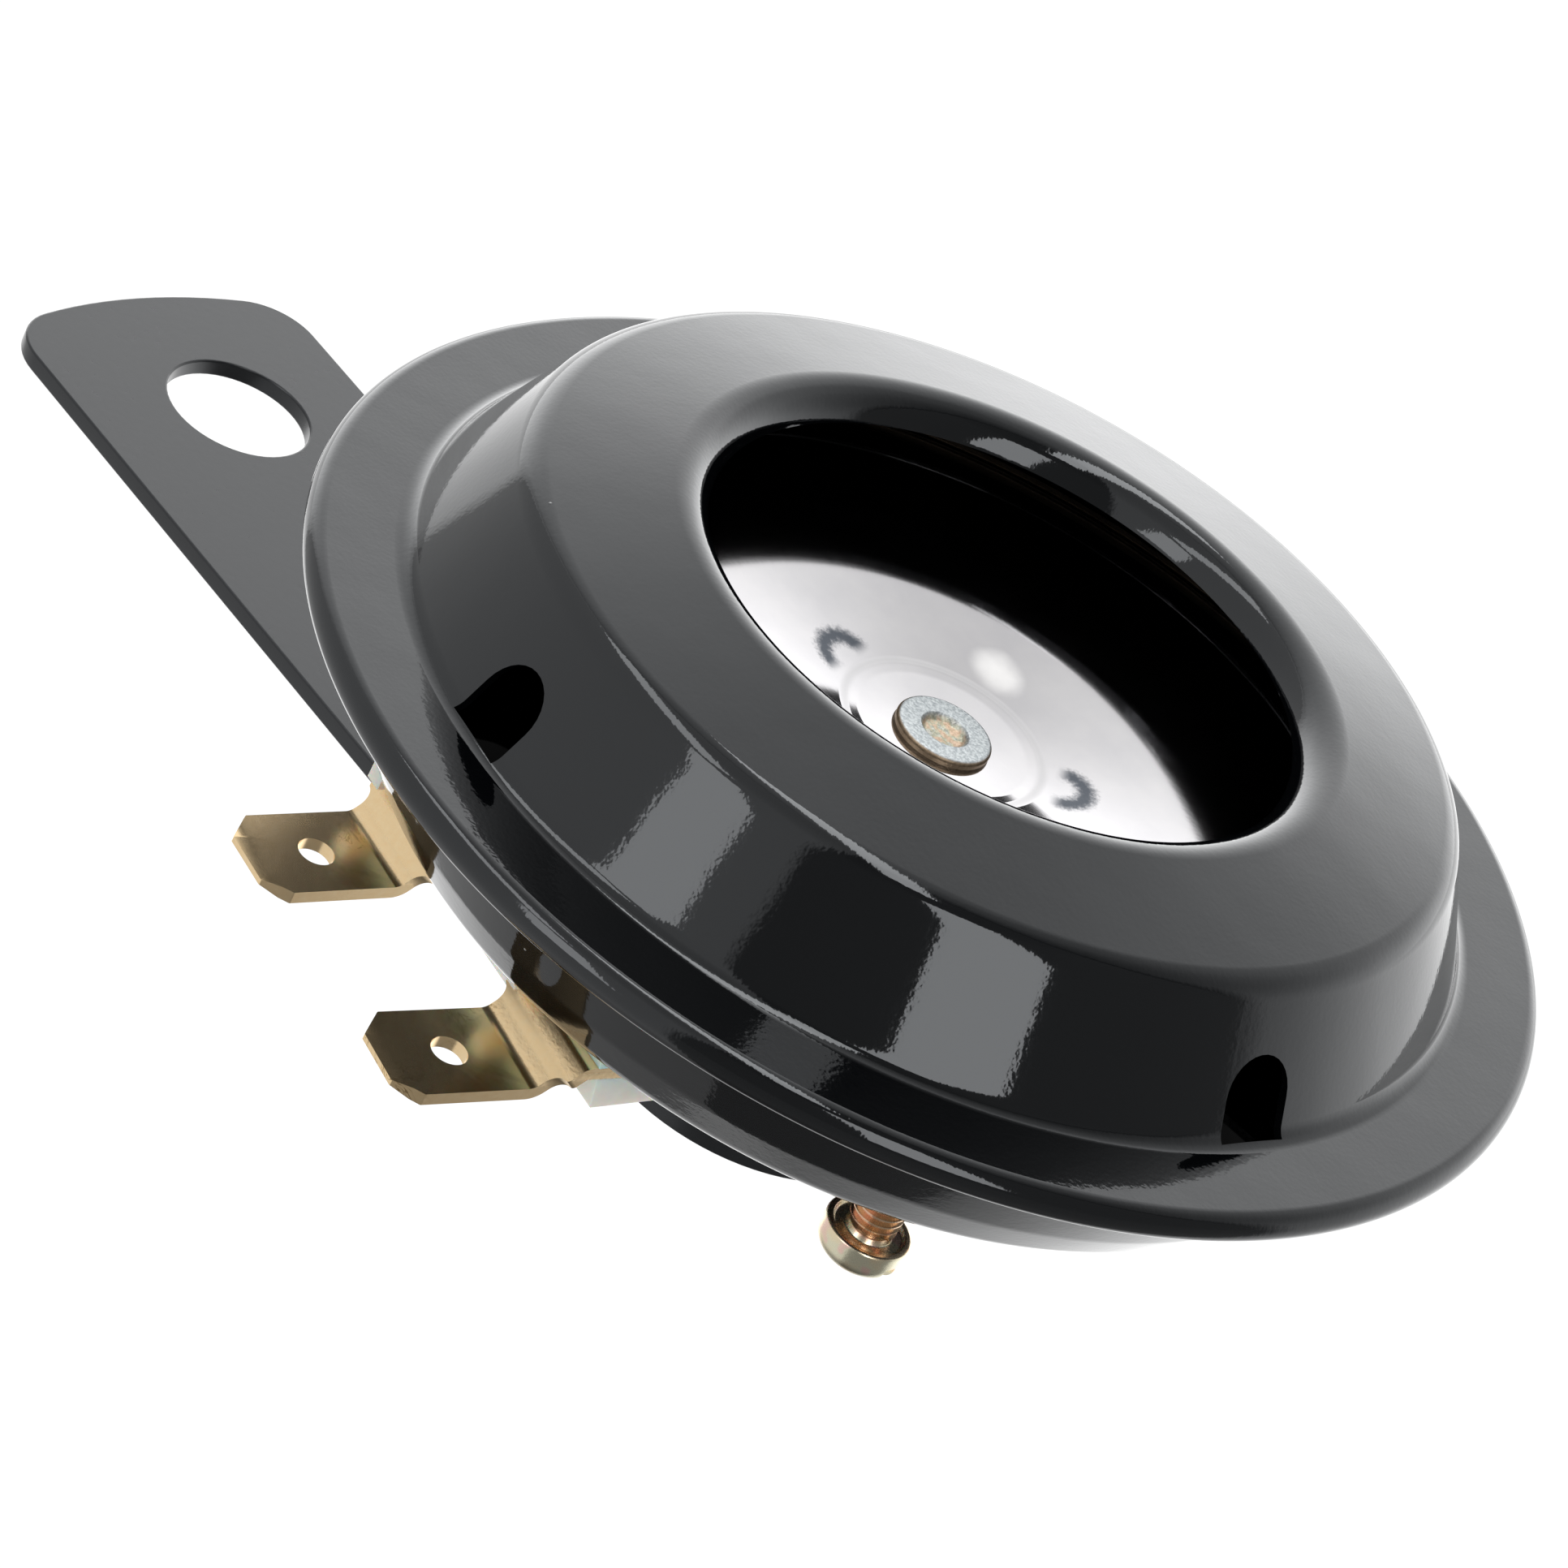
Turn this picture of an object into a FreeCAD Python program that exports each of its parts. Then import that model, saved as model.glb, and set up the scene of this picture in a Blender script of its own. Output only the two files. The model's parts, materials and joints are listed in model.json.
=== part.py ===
"""Disc horn of a car: pressed housing, vibrating diaphragm, coil and contact breaker on a flat bracket.

The horn's own frame has its origin on the horn's axis, in the plane where cover and diaphragm are
clamped, with +Z towards the mouth. The part's frame has its origin at the bracket's screw hole, on the
bracket's front face, and the same directions. Lengths are in millimetres and angles in degrees.
"""
import FreeCAD, Part
import math
import os
import Sketcher

DIMENSIONS = (
    # Rim, where the case's edge is folded over the cover, the diaphragm and the two gaskets
    ("rim_radius", 39.0, "outer radius of the folded rim"),
    ("fold_width", 2.6, "folded edge on the front"),
    ("fold_bend", 0.45, "inner bend radius of the fold"),
    ("edge_clearance", 0.05, "from the clamped edges to the fold's inner bend"),
    ("gasket_gauge", 0.1, "paper gasket"),
    ("clamp_width", 4.4, "clamped edge of the diaphragm"),
    ("gasket_inset", 0.5, "gaskets start outside the diaphragm's bend by this much"),
    # Front cover
    ("cover_gauge", 0.6, "sheet of the front cover"),
    ("mouth_radius", 19.25, "round mouth"),
    ("lip_depth", 2.64, "how far the lip turns down into the mouth"),
    ("ridge_height", 11.04, "sharp corner of the mouth's ridge above the clamp plane"),
    ("crown_lean", 11.2, "fall of the crown away from the mouth"),
    ("cover_wall_run", 4.41, "cover's wall from the shoulder corner out to its foot"),
    ("cover_flange", 4.5, "cover's flange from the wall's foot to its edge"),
    ("ridge_bend", 1.3, "inner bend radius at the mouth"),
    ("shoulder_bend", 1.6, "inner bend radius at the shoulder"),
    ("cover_foot_bend", 1.2, "bend radius at the wall's foot"),
    ("vent_width", 4.5, "width of a drain slot in the cover's wall"),
    ("vent_low", 0.75, "lower end of a drain slot above the clamp plane"),
    ("vent_high", 5.5, "upper end of a drain slot above the clamp plane"),
    ("vent_count", 4, "drain slots round the cover"),
    ("vent_azimuth", 82.0, "direction of the first drain slot"),
    # Rear case
    ("case_gauge", 0.5, "sheet of the rear case"),
    ("case_overhang", 2.6, "rim past the case's wall"),
    ("case_throat_bend", 0.9, "bend radius under the rim"),
    ("case_wall_lean", 31.8, "case wall from the axis"),
    ("shelf_depth", 10.3, "shelf's outer face behind the clamp plane"),
    ("shelf_bend", 4.07, "inner bend radius between wall and shelf"),
    ("cup_radius", 16.5, "coil cup's outer radius"),
    ("cup_depth", 17.0, "coil cup's bottom behind the clamp plane"),
    ("cup_bend", 1.5, "inner bend radius at the cup's bottom"),
    ("cup_mouth_bend", 1.0, "bend radius at the cup's mouth"),
    # Diaphragm with armature
    ("diaphragm_gauge", 0.2, "spring steel of the diaphragm"),
    ("boss_height", 0.75, "flat centre above the clamp plane"),
    ("bead_radius", 6.1, "middle of the raised ring round the centre"),
    ("bead_width", 1.6, "raised ring's width at its foot"),
    ("bead_height", 0.4, "raised ring above the flat centre"),
    ("cone_foot_height", 0.95, "foot of the diaphragm's cone above the clamp plane"),
    ("crest_inset", 9.6, "crest of the diaphragm from its clamped edge"),
    ("crest_height", 4.15, "sharp corner of the crest above the clamp plane"),
    ("crest_bend", 6.0, "inner bend radius of the crest"),
    ("clamp_bend", 1.5, "bend radius where the diaphragm enters the clamp"),
    ("washer_radius", 6.0, "washer between diaphragm and armature"),
    ("washer_thickness", 1.0, ""),
    ("armature_radius", 12.0, "armature disc"),
    ("armature_thickness", 4.4, "armature disc"),
    ("armature_boss_inset", 0.5, "armature's boss in the coil, inside the core's radius"),
    ("armature_boss_length", 2.85, ""),
    ("armature_edge", 0.6, "chamfer of the armature's edges"),
    ("centre_rivet_radius", 2.0, "shank of the centre rivet"),
    ("centre_rivet_head", 3.06, "radius of the centre rivet's head"),
    ("centre_rivet_rise", 0.7, "height of the centre rivet's head"),
    ("centre_rivet_grip", 4.0, "centre rivet's length in the armature"),
    ("centre_rivet_dimple", 1.3, "radius of the dimple in the head"),
    ("centre_rivet_dimple_floor", 1.04, "radius of the dimple's floor"),
    ("centre_rivet_dimple_depth", 0.4, ""),
    ("centre_rivet_edge", 0.35, "rounding of the head's edge"),
    # Coil and magnet core
    ("core_gap", 0.8, "air gap between armature and core"),
    ("core_radius", 5.5, "magnet core"),
    ("stud_radius", 3.0, "threaded stud behind the core, M6"),
    ("stud_reach", 0.8, "stud past the bracket nut"),
    ("stud_edge", 0.6, "chamfer of the stud's end"),
    ("fit_clearance", 0.1, "clearance of holes round studs, rivets and cores"),
    ("bobbin_wall", 1.0, "hub wall of the bobbin"),
    ("bobbin_flange", 0.9, "flange thickness of the bobbin"),
    ("bobbin_rise", 1.7, "bobbin's front past the core's face"),
    ("winding_inset", 1.0, "winding inside the bobbin's flanges"),
    ("winding_edge", 0.5, "rounding of the winding's edges"),
    # Nuts and spring washer on the stud
    ("nut_flats", 10.0, "across the flats, M6"),
    ("core_nut_height", 6.4, ""),
    ("bracket_nut_height", 3.2, "thin nut"),
    ("nut_chamfer", 30.0, "chamfer of the nut's corners from the face"),
    ("spring_washer_radius", 5.9, ""),
    ("spring_washer_height", 1.6, ""),
    ("spring_washer_slit", 1.4, ""),
    # Bracket
    ("bracket_reach", 60.0, "from the screw hole to the horn's axis"),
    ("bracket_turn", 0.7, "turn of the bracket in the part's frame"),
    ("bracket_width", 23.5, ""),
    ("bracket_gauge", 1.2, "sheet of the bracket"),
    ("bracket_end", 11.9, "from the screw hole to the bracket's free end"),
    ("bracket_corner", 4.3, "corner radius of the free end"),
    ("bracket_bow", 36.7, "radius of the free end's slight bow"),
    ("bracket_hole", 5.0, "radius of the screw hole"),
    ("bracket_side", -0.6, "middle of the strip beside the line from the screw hole to the stud"),
    ("bracket_round_back", 0.4, "centre of the round end short of the stud"),
    # Terminal block and its terminals
    ("block_azimuth", 264.4, "direction of the terminals seen from the horn's axis"),
    ("block_behind", 4.3, "block's inner face from the terminal rivets"),
    ("block_ahead", 4.0, "block's outer face from the terminal rivets, at the terminals"),
    ("block_half_width", 11.9, ""),
    ("block_height", 4.3, "block's height off the shelf"),
    ("block_lean", 16.0, "lean of the block's outer face"),
    ("block_corner", 1.0, "corner radius of the block"),
    ("lug_width", 1.2, "guide lug beside each terminal"),
    ("lug_reach", 2.0, "guide lug past the block's outer face"),
    ("lug_side", 3.8, "guide lug's outer side from the terminal's middle"),
    ("terminal_gauge", 0.8, "brass sheet"),
    ("terminal_pitch", 16.2, "between the two terminals at their rivets"),
    ("terminal_inset", 8.07, "terminal rivets from the shelf's outer corner"),
    ("terminal_drop", 1.23, "terminal's front face behind the shelf"),
    ("left_yaw", 358.6, "left terminal's turn from the block's direction"),
    ("right_yaw", 356.4, "right terminal's turn from the block's direction"),
    ("foot_width", 8.0, "terminal's foot"),
    ("foot_back", 2.8, "terminal's foot behind the rivet"),
    ("foot_length", 4.1, "terminal's foot from the rivet to the bend"),
    ("shoulder_reach", 1.5, "full width of the foot carried into the bend"),
    ("bend_run", 2.8, "length of the terminal's double bend"),
    ("bend_drop", 2.2, "drop of the terminal's double bend"),
    ("bend_radius", 0.6, "inner radius of the terminal's bends"),
    ("blade_width", 6.3, "blade for a 6.3 mm push-on connector"),
    ("blade_length", 8.1, "straight blade"),
    ("blade_chamfer", 1.4, "corners of the blade's tip"),
    ("tip_bevel", 0.9, "coined bevel of the blade's tip, along the blade"),
    ("tip_bevel_depth", 0.22, "and into each face"),
    ("blade_hole", 1.1, "radius of the latching hole"),
    ("blade_hole_back", 4.5, "latching hole from the tip"),
    ("slot_clearance", 0.1, "block's slot round the terminal"),
    ("terminal_rivet_radius", 1.3, ""),
    ("terminal_rivet_head", 2.4, "head radius of the terminal rivets"),
    ("terminal_rivet_rise", 0.8, "head height of the terminal rivets"),
    ("collar_radius", 2.0, "insulating collar in the shelf"),
    ("insulator_gauge", 0.8, "inner insulating plate"),
    ("insulator_behind", 3.1, "inner insulating plate's near edge from the rivets"),
    ("insulator_ahead", 2.5, "inner insulating plate's far edge from the rivets"),
    ("insulator_half_width", 11.4, ""),
    ("tag_gauge", 0.5, "solder tag"),
    ("tag_width", 4.6, "solder tag"),
    ("tag_length", 6.4, "solder tag towards the axis"),
    # Contact breaker, in a frame of its own turned towards the adjusting screw
    ("breaker_inset", 6.37, "breaker's middle along X from the shelf's outer corner"),
    ("breaker_side", 0.85, "breaker's middle along Y from the horn's axis"),
    ("breaker_turn", 256.4, "direction from the rivets to the adjusting screw"),
    ("breaker_reach", 14.87, "from the breaker's middle to the adjusting screw"),
    ("stack_length", 7.0, "insulator stack of the breaker"),
    ("stack_width", 6.0, "insulator stack of the breaker"),
    ("stack_low", 1.8, "lower insulator"),
    ("stack_middle", 1.6, "middle insulator"),
    ("stack_upper", 1.0, "upper insulator"),
    ("fixed_arm_gauge", 0.5, ""),
    ("moving_arm_gauge", 0.4, ""),
    ("arm_past_screw", 3.1, "contact arms past the adjusting screw"),
    ("arm_corner", 1.2, "corner radius of the contact arms"),
    ("tongue_place", 6.5, "moving arm's tongue from the breaker's middle"),
    ("tongue_width", 4.0, ""),
    ("tongue_reach", 12.8, "moving arm's tongue towards the armature"),
    ("contact_place", 11.4, "contact points from the breaker's middle"),
    ("contact_radius", 1.5, ""),
    ("contact_pin_radius", 0.7, "contact's pin in its arm"),
    ("contact_pin_peen", 0.2, "contact's pin past its arm"),
    ("breaker_rivet_pitch", 3.6, ""),
    ("breaker_rivet_radius", 0.9, ""),
    ("breaker_rivet_head", 1.6, "head radius"),
    ("breaker_rivet_rise", 0.6, "head height"),
    # Adjusting screw in its collar
    ("screw_radius", 1.5, "M3"),
    ("screw_fit", 0.05, "clearance of the collar's bore round the screw"),
    ("screw_tip_gap", 0.05, "screw's tip behind the fixed arm"),
    ("screw_head_radius", 2.6, ""),
    ("screw_head_height", 2.1, ""),
    ("screw_head_edge", 1.0, "rounding of the screw's head"),
    ("screw_stand", 5.3, "screw head's underside behind the shelf"),
    ("screw_slot_width", 0.8, ""),
    ("screw_slot_depth", 1.2, ""),
    ("collar_wall", 1.05, "wall of the extruded collar round the screw"),
    ("collar_length", 2.2, "extruded collar behind the shelf"),
)

PLACE_TOLERANCE = 1e-4
HEXAGON_HALF_SECTOR = 30


class Size:
    """A length or an angle: its value now, and the sheet's expression that keeps it right."""

    def __init__(self, value, text):
        self.value = float(value)
        self.text = text

    def joined(self, sign, other, value):
        return Size(value, "(%s %s %s)" % (self.text, sign, other.text))

    def __add__(self, other):
        other = as_size(other)
        return self.joined("+", other, self.value + other.value)

    def __radd__(self, other):
        return as_size(other) + self

    def __sub__(self, other):
        other = as_size(other)
        return self.joined("-", other, self.value - other.value)

    def __rsub__(self, other):
        return as_size(other) - self

    def __mul__(self, other):
        other = as_size(other)
        return self.joined("*", other, self.value * other.value)

    def __rmul__(self, other):
        return as_size(other) * self

    def __truediv__(self, other):
        other = as_size(other)
        return self.joined("/", other, self.value / other.value)

    def __neg__(self):
        return Size(-self.value, "(0 - %s)" % self.text)


def as_size(number):
    if isinstance(number, Size):
        return number
    return Size(number, "(%r)" % float(number))


def sine(angle):
    return Size(math.sin(math.radians(angle.value)), "sin(%s)" % angle.text)


def cosine(angle):
    return Size(math.cos(math.radians(angle.value)), "cos(%s)" % angle.text)


def tangent(angle):
    return Size(math.tan(math.radians(angle.value)), "tan(%s)" % angle.text)


def root(area):
    return Size(math.sqrt(area.value), "sqrt(%s)" % area.text)


class Dimensions:
    """The document's sheet of driving dimensions, read by name."""

    def __init__(self, document):
        self.sheet = document.addObject("Spreadsheet::Sheet", "dims")
        self.values = {}
        for row, (name, value, note) in enumerate(DIMENSIONS, 1):
            self.sheet.set("A%d" % row, str(value))
            self.sheet.setAlias("A%d" % row, name)
            self.sheet.set("B%d" % row, note)
            self.values[name] = value

    def __getattr__(self, name):
        return Size(self.values[name], "dims." + name)


doc = FreeCAD.newDocument("CarHorn")
dims = Dimensions(doc)
doc.recompute()
NOUGHT = Size(0, "0")
BODIES = []

# Heights in the horn's frame, from the clamp plane
GASKET_FRONT_LOW = -dims.gasket_gauge
DIAPHRAGM_RIM_LOW = GASKET_FRONT_LOW - dims.diaphragm_gauge
CASE_FLANGE_TOP = DIAPHRAGM_RIM_LOW - dims.gasket_gauge
CASE_FLANGE_LOW = CASE_FLANGE_TOP - dims.case_gauge
FOLD_TOP = dims.cover_gauge + dims.case_gauge
SHELF_OUTSIDE = -dims.shelf_depth
SHELF_INSIDE = SHELF_OUTSIDE + dims.case_gauge
CUP_OUTSIDE = -dims.cup_depth
CUP_INSIDE = CUP_OUTSIDE + dims.case_gauge
DIAPHRAGM_BACK = dims.boss_height - dims.diaphragm_gauge
ARMATURE_TOP = DIAPHRAGM_BACK - dims.washer_thickness
ARMATURE_DISC_LOW = ARMATURE_TOP - dims.armature_thickness
ARMATURE_LOW = ARMATURE_DISC_LOW - dims.armature_boss_length
CORE_TOP = ARMATURE_LOW - dims.core_gap
BOBBIN_TOP = CORE_TOP + dims.bobbin_rise
BRACKET_FRONT = CUP_OUTSIDE - dims.core_nut_height
BRACKET_REAR = BRACKET_FRONT - dims.bracket_gauge
SPRING_WASHER_LOW = BRACKET_REAR - dims.spring_washer_height
BRACKET_NUT_LOW = SPRING_WASHER_LOW - dims.bracket_nut_height
STUD_END = BRACKET_NUT_LOW - dims.stud_reach
BLOCK_LOW = SHELF_OUTSIDE - dims.block_height
TERMINAL_FRONT = SHELF_OUTSIDE - dims.terminal_drop
TERMINAL_REAR = TERMINAL_FRONT - dims.terminal_gauge
INSULATOR_TOP = SHELF_INSIDE + dims.insulator_gauge
TAG_TOP = INSULATOR_TOP + dims.tag_gauge
FIXED_ARM_LOW = SHELF_INSIDE + dims.stack_low
FIXED_ARM_TOP = FIXED_ARM_LOW + dims.fixed_arm_gauge
MOVING_ARM_LOW = FIXED_ARM_TOP + dims.stack_middle
MOVING_ARM_TOP = MOVING_ARM_LOW + dims.moving_arm_gauge
STACK_TOP = MOVING_ARM_TOP + dims.stack_upper
SCREW_HEAD_TOP = SHELF_OUTSIDE - dims.screw_stand
SCREW_TIP = FIXED_ARM_LOW - dims.screw_tip_gap

# Radii that follow the rim and the cup
FOLD_RADIUS = dims.rim_radius - dims.fold_width
CLAMPED_RADIUS = dims.rim_radius - dims.case_gauge - dims.fold_bend - dims.edge_clearance
CLAMP_RADIUS = CLAMPED_RADIUS - dims.clamp_width
CREST_RADIUS = CLAMP_RADIUS - dims.crest_inset
COVER_FOOT_RADIUS = CLAMPED_RADIUS - dims.cover_flange
SHOULDER_RADIUS = COVER_FOOT_RADIUS - dims.cover_wall_run
THROAT_RADIUS = dims.rim_radius - dims.case_overhang
SHELF_RADIUS = THROAT_RADIUS - (dims.shelf_depth + CASE_FLANGE_LOW) * tangent(dims.case_wall_lean)
TERMINAL_REACH = SHELF_RADIUS - dims.terminal_inset
BREAKER_X = SHELF_RADIUS - dims.breaker_inset
BREAKER_Y = dims.breaker_side
BOBBIN_RADIUS = dims.cup_radius - dims.case_gauge - dims.cup_bend - dims.fit_clearance
WINDING_RADIUS = BOBBIN_RADIUS - dims.winding_inset

# Where the horn's frame stands in the part's frame, whose origin is the bracket's screw hole
HORN_X = dims.bracket_reach * cosine(dims.bracket_turn)
HORN_Y = dims.bracket_reach * sine(dims.bracket_turn)
HORN_Z = -BRACKET_FRONT


def turned(x, y, turn):
    """The point x, y of a frame that is turned about Z, seen from the frame outside it."""
    return x * cosine(turn) - y * sine(turn), x * sine(turn) + y * cosine(turn)


def place_body(name, x, y, z, turn):
    """A new body whose own frame stands at x, y, z in the part's frame, turned about Z."""
    body = doc.addObject("PartDesign::Body", name)
    body.Label = name
    sizes = tuple(size.text for size in (x, y, z, turn))
    place = "placement(vector(%s; %s; %s); rotation(vector(0; 0; 1); %s))" % sizes
    body.setExpression("Placement", place)
    BODIES.append(body)
    return body


def new_body(name, x=NOUGHT, y=NOUGHT, turn=NOUGHT):
    """A body of the horn: x, y and turn place its own frame in the horn's."""
    return place_body(name, HORN_X + x, HORN_Y + y, HORN_Z, turn)


def new_sketch(body, plane, offset=NOUGHT):
    """A sketch on one of the body's origin planes, moved along the plane's normal."""
    sketch = body.newObject("Sketcher::SketchObject", body.Name + "_sketch")
    support = next(feature for feature in body.Origin.OriginFeatures if feature.Role == plane)
    sketch.AttachmentSupport = [(support, "")]
    sketch.MapMode = "FlatFace"
    sketch.setExpression("AttachmentOffset.Base.z", offset.text)
    return sketch


def bind(sketch, kind, arguments, size):
    """One driving constraint of a sketch, tied to the size's expression."""
    number = sketch.addConstraint(Sketcher.Constraint(kind, *arguments, size.value))
    name = "size_%d" % number
    sketch.renameConstraint(number, name)
    sketch.setExpression("Constraints." + name, size.text)


def pin(sketch, edge, end, x, y):
    """Ties one end of an edge to x, y measured from the sketch's origin."""
    for kind, axis, size in (("DistanceX", -2, x), ("DistanceY", -1, y)):
        if size is NOUGHT:
            sketch.addConstraint(Sketcher.Constraint("PointOnObject", edge, end, axis))
        else:
            bind(sketch, kind, (-1, 1, edge, end), size)


def vector(x, y):
    return FreeCAD.Vector(x, y, 0)


def draw_outline(sketch, points):
    """A closed outline of straight edges whose corners follow their sizes."""
    first = sketch.GeometryCount
    corners = [vector(x.value, y.value) for x, y in points]
    ends = corners[1:] + corners[:1]
    sketch.addGeometry([Part.LineSegment(a, b) for a, b in zip(corners, ends)], False)
    for place, (x, y) in enumerate(points):
        following = first + (place + 1) % len(points)
        sketch.addConstraint(Sketcher.Constraint("Coincident", first + place, 2, following, 1))
        pin(sketch, first + place, 1, x, y)
    return sketch


def draw_circle(sketch, x, y, radius):
    centre = vector(x.value, y.value)
    edge = sketch.addGeometry(Part.Circle(centre, FreeCAD.Vector(0, 0, 1), radius.value), False)
    pin(sketch, edge, 3, x, y)
    bind(sketch, "Radius", (edge,), radius)
    return sketch


def offset_corners(points, gauge):
    """Corners of a line that runs one gauge to the right of a line through the points."""
    corners = [vector(x.value, y.value) for x, y in points]
    steps = [(b - a).normalize() for a, b in zip(corners, corners[1:])]
    rights = [vector(step.y, -step.x) for step in steps]
    found = [corners[0] + rights[0] * gauge]
    for corner, before, after in zip(corners[1:-1], rights, rights[1:]):
        found.append(corner + (before + after) * (gauge / (1 + before.dot(after))))
    found.append(corners[-1] + rights[-1] * gauge)
    return found


def draw_sheet(sketch, points, gauge):
    """Section of bent sheet: one side runs through the points, the other lies a gauge to its right."""
    near = [vector(x.value, y.value) for x, y in points]
    far = offset_corners(points, gauge.value)
    runs = len(points) - 1
    edges = [Part.LineSegment(near[i], near[i + 1]) for i in range(runs)]
    edges += [Part.LineSegment(far[i], far[i + 1]) for i in range(runs)]
    edges += [Part.LineSegment(near[0], far[0]), Part.LineSegment(near[-1], far[-1])]
    sketch.addGeometry(edges, False)
    start_cap = 2 * runs
    end_cap = start_cap + 1
    for first, cap_end in ((0, 1), (runs, 2)):
        last = first + runs - 1
        for run in range(first, last):
            sketch.addConstraint(Sketcher.Constraint("Coincident", run, 2, run + 1, 1))
        sketch.addConstraint(Sketcher.Constraint("Coincident", first, 1, start_cap, cap_end))
        sketch.addConstraint(Sketcher.Constraint("Coincident", last, 2, end_cap, cap_end))
    for run in range(runs):
        pin(sketch, run, 1, *points[run])
        sketch.addConstraint(Sketcher.Constraint("Parallel", runs + run, run))
        bind(sketch, "Distance", (runs + run, 1, run), gauge)
    pin(sketch, runs - 1, 2, *points[-1])
    sketch.addConstraint(Sketcher.Constraint("Perpendicular", start_cap, 0))
    sketch.addConstraint(Sketcher.Constraint("Perpendicular", end_cap, runs - 1))
    return [(corner.x, corner.y) for corner in far]


def set_tip(body, feature):
    body.Tip = feature
    doc.recompute()
    return feature


def revolve(body, sketch):
    feature = body.newObject("PartDesign::Revolution", body.Name + "_turned")
    feature.Profile = sketch
    feature.ReferenceAxis = (sketch, ["V_Axis"])
    feature.Angle = 360
    sketch.Visibility = False
    return set_tip(body, feature)


def pad(body, sketch, length, both_ways=False):
    feature = body.newObject("PartDesign::Pad", body.Name + "_pad")
    feature.Profile = sketch
    feature.setExpression("Length", length.text)
    feature.Midplane = both_ways
    return set_tip(body, feature)


def pocket(body, sketch, length, both_ways=False):
    """Cuts against the sketch's normal, and makes sure that it cut something."""
    before = body.Shape.Volume
    feature = body.newObject("PartDesign::Pocket", body.Name + "_pocket")
    feature.Profile = sketch
    feature.setExpression("Length", length.text)
    feature.Midplane = both_ways
    set_tip(body, feature)
    if not body.Shape.Volume < before:
        raise ValueError("%s cuts nothing" % feature.Name)
    return feature


def groove(body, sketch):
    before = body.Shape.Volume
    feature = body.newObject("PartDesign::Groove", body.Name + "_groove")
    feature.Profile = sketch
    feature.ReferenceAxis = (sketch, ["V_Axis"])
    feature.Angle = 360
    set_tip(body, feature)
    if not body.Shape.Volume < before:
        raise ValueError("%s cuts nothing" % feature.Name)
    return feature


def dress(body, kind, edges, size):
    """A Fillet or Chamfer on the named edges of the body's last feature."""
    base = body.Tip
    feature = body.newObject("PartDesign::" + kind, body.Name + "_" + kind.lower())
    feature.Base = (base, edges)
    feature.setExpression("Radius" if kind == "Fillet" else "Size", size.text)
    return set_tip(body, feature)


def ring_edge(body, radius, height):
    """Name of the circular edge of that radius about the body's Z axis, at that height."""
    for number, edge in enumerate(body.Tip.Shape.Edges, 1):
        curve = edge.Curve
        if isinstance(curve, Part.Circle):
            misses = (curve.Radius - radius, curve.Center.z - height, curve.Center.x, curve.Center.y)
            if max(abs(miss) for miss in misses) < PLACE_TOLERANCE:
                return "Edge%d" % number
    raise ValueError("%s has no ring edge at %.3f, %.3f" % (body.Name, radius, height))


def cross_edge(body, x, z):
    """Name of the straight edge of the body that runs along Y at x, z."""
    for number, edge in enumerate(body.Tip.Shape.Edges, 1):
        misses = [value for end in edge.Vertexes for value in (end.X - x, end.Z - z)]
        if max(abs(miss) for miss in misses) < PLACE_TOLERANCE:
            return "Edge%d" % number
    raise ValueError("%s has no cross edge at %.3f, %.3f" % (body.Name, x, z))


def upright_edge(body, x, y):
    """Name of the straight edge of the body that runs along Z at x, y."""
    for number, edge in enumerate(body.Tip.Shape.Edges, 1):
        misses = [value for end in edge.Vertexes for value in (end.X - x.value, end.Y - y.value)]
        if max(abs(miss) for miss in misses) < PLACE_TOLERANCE:
            return "Edge%d" % number
    raise ValueError("%s has no upright edge at %.3f, %.3f" % (body.Name, x.value, y.value))


def round_ring(body, corner, size):
    dress(body, "Fillet", [ring_edge(body, *corner)], size)


def round_cross(body, corner, size):
    dress(body, "Fillet", [cross_edge(body, *corner)], size)


def round_uprights(body, corners, size):
    dress(body, "Fillet", [upright_edge(body, x, y) for x, y in corners], size)


def values(point):
    return point[0].value, point[1].value


def bend(body, inside, outside, bend_radius, gauge, rounding=round_ring):
    """Rounds both sides of one corner of bent sheet, the inside of the bend first."""
    rounding(body, inside, bend_radius)
    rounding(body, outside, bend_radius + gauge)


def turned_body(name, profile):
    """A body turned from one closed profile of radius and height."""
    body = new_body(name)
    sketch = draw_outline(new_sketch(body, "XZ_Plane"), profile)
    revolve(body, sketch)
    return body


def drill(body, top, depth, holes):
    """Round holes down from one height, each given by x, y and radius."""
    sketch = new_sketch(body, "XY_Plane", top)
    for x, y, radius in holes:
        draw_circle(sketch, x, y, radius)
    return pocket(body, sketch, depth)


def plate(body, low, height, outline):
    """A flat plate of one outline on the height low."""
    sketch = draw_outline(new_sketch(body, "XY_Plane", low), outline)
    return pad(body, sketch, height)


def rectangle(x_low, x_high, y_low, y_high):
    return [(x_low, y_low), (x_high, y_low), (x_high, y_high), (x_low, y_high)]


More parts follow.
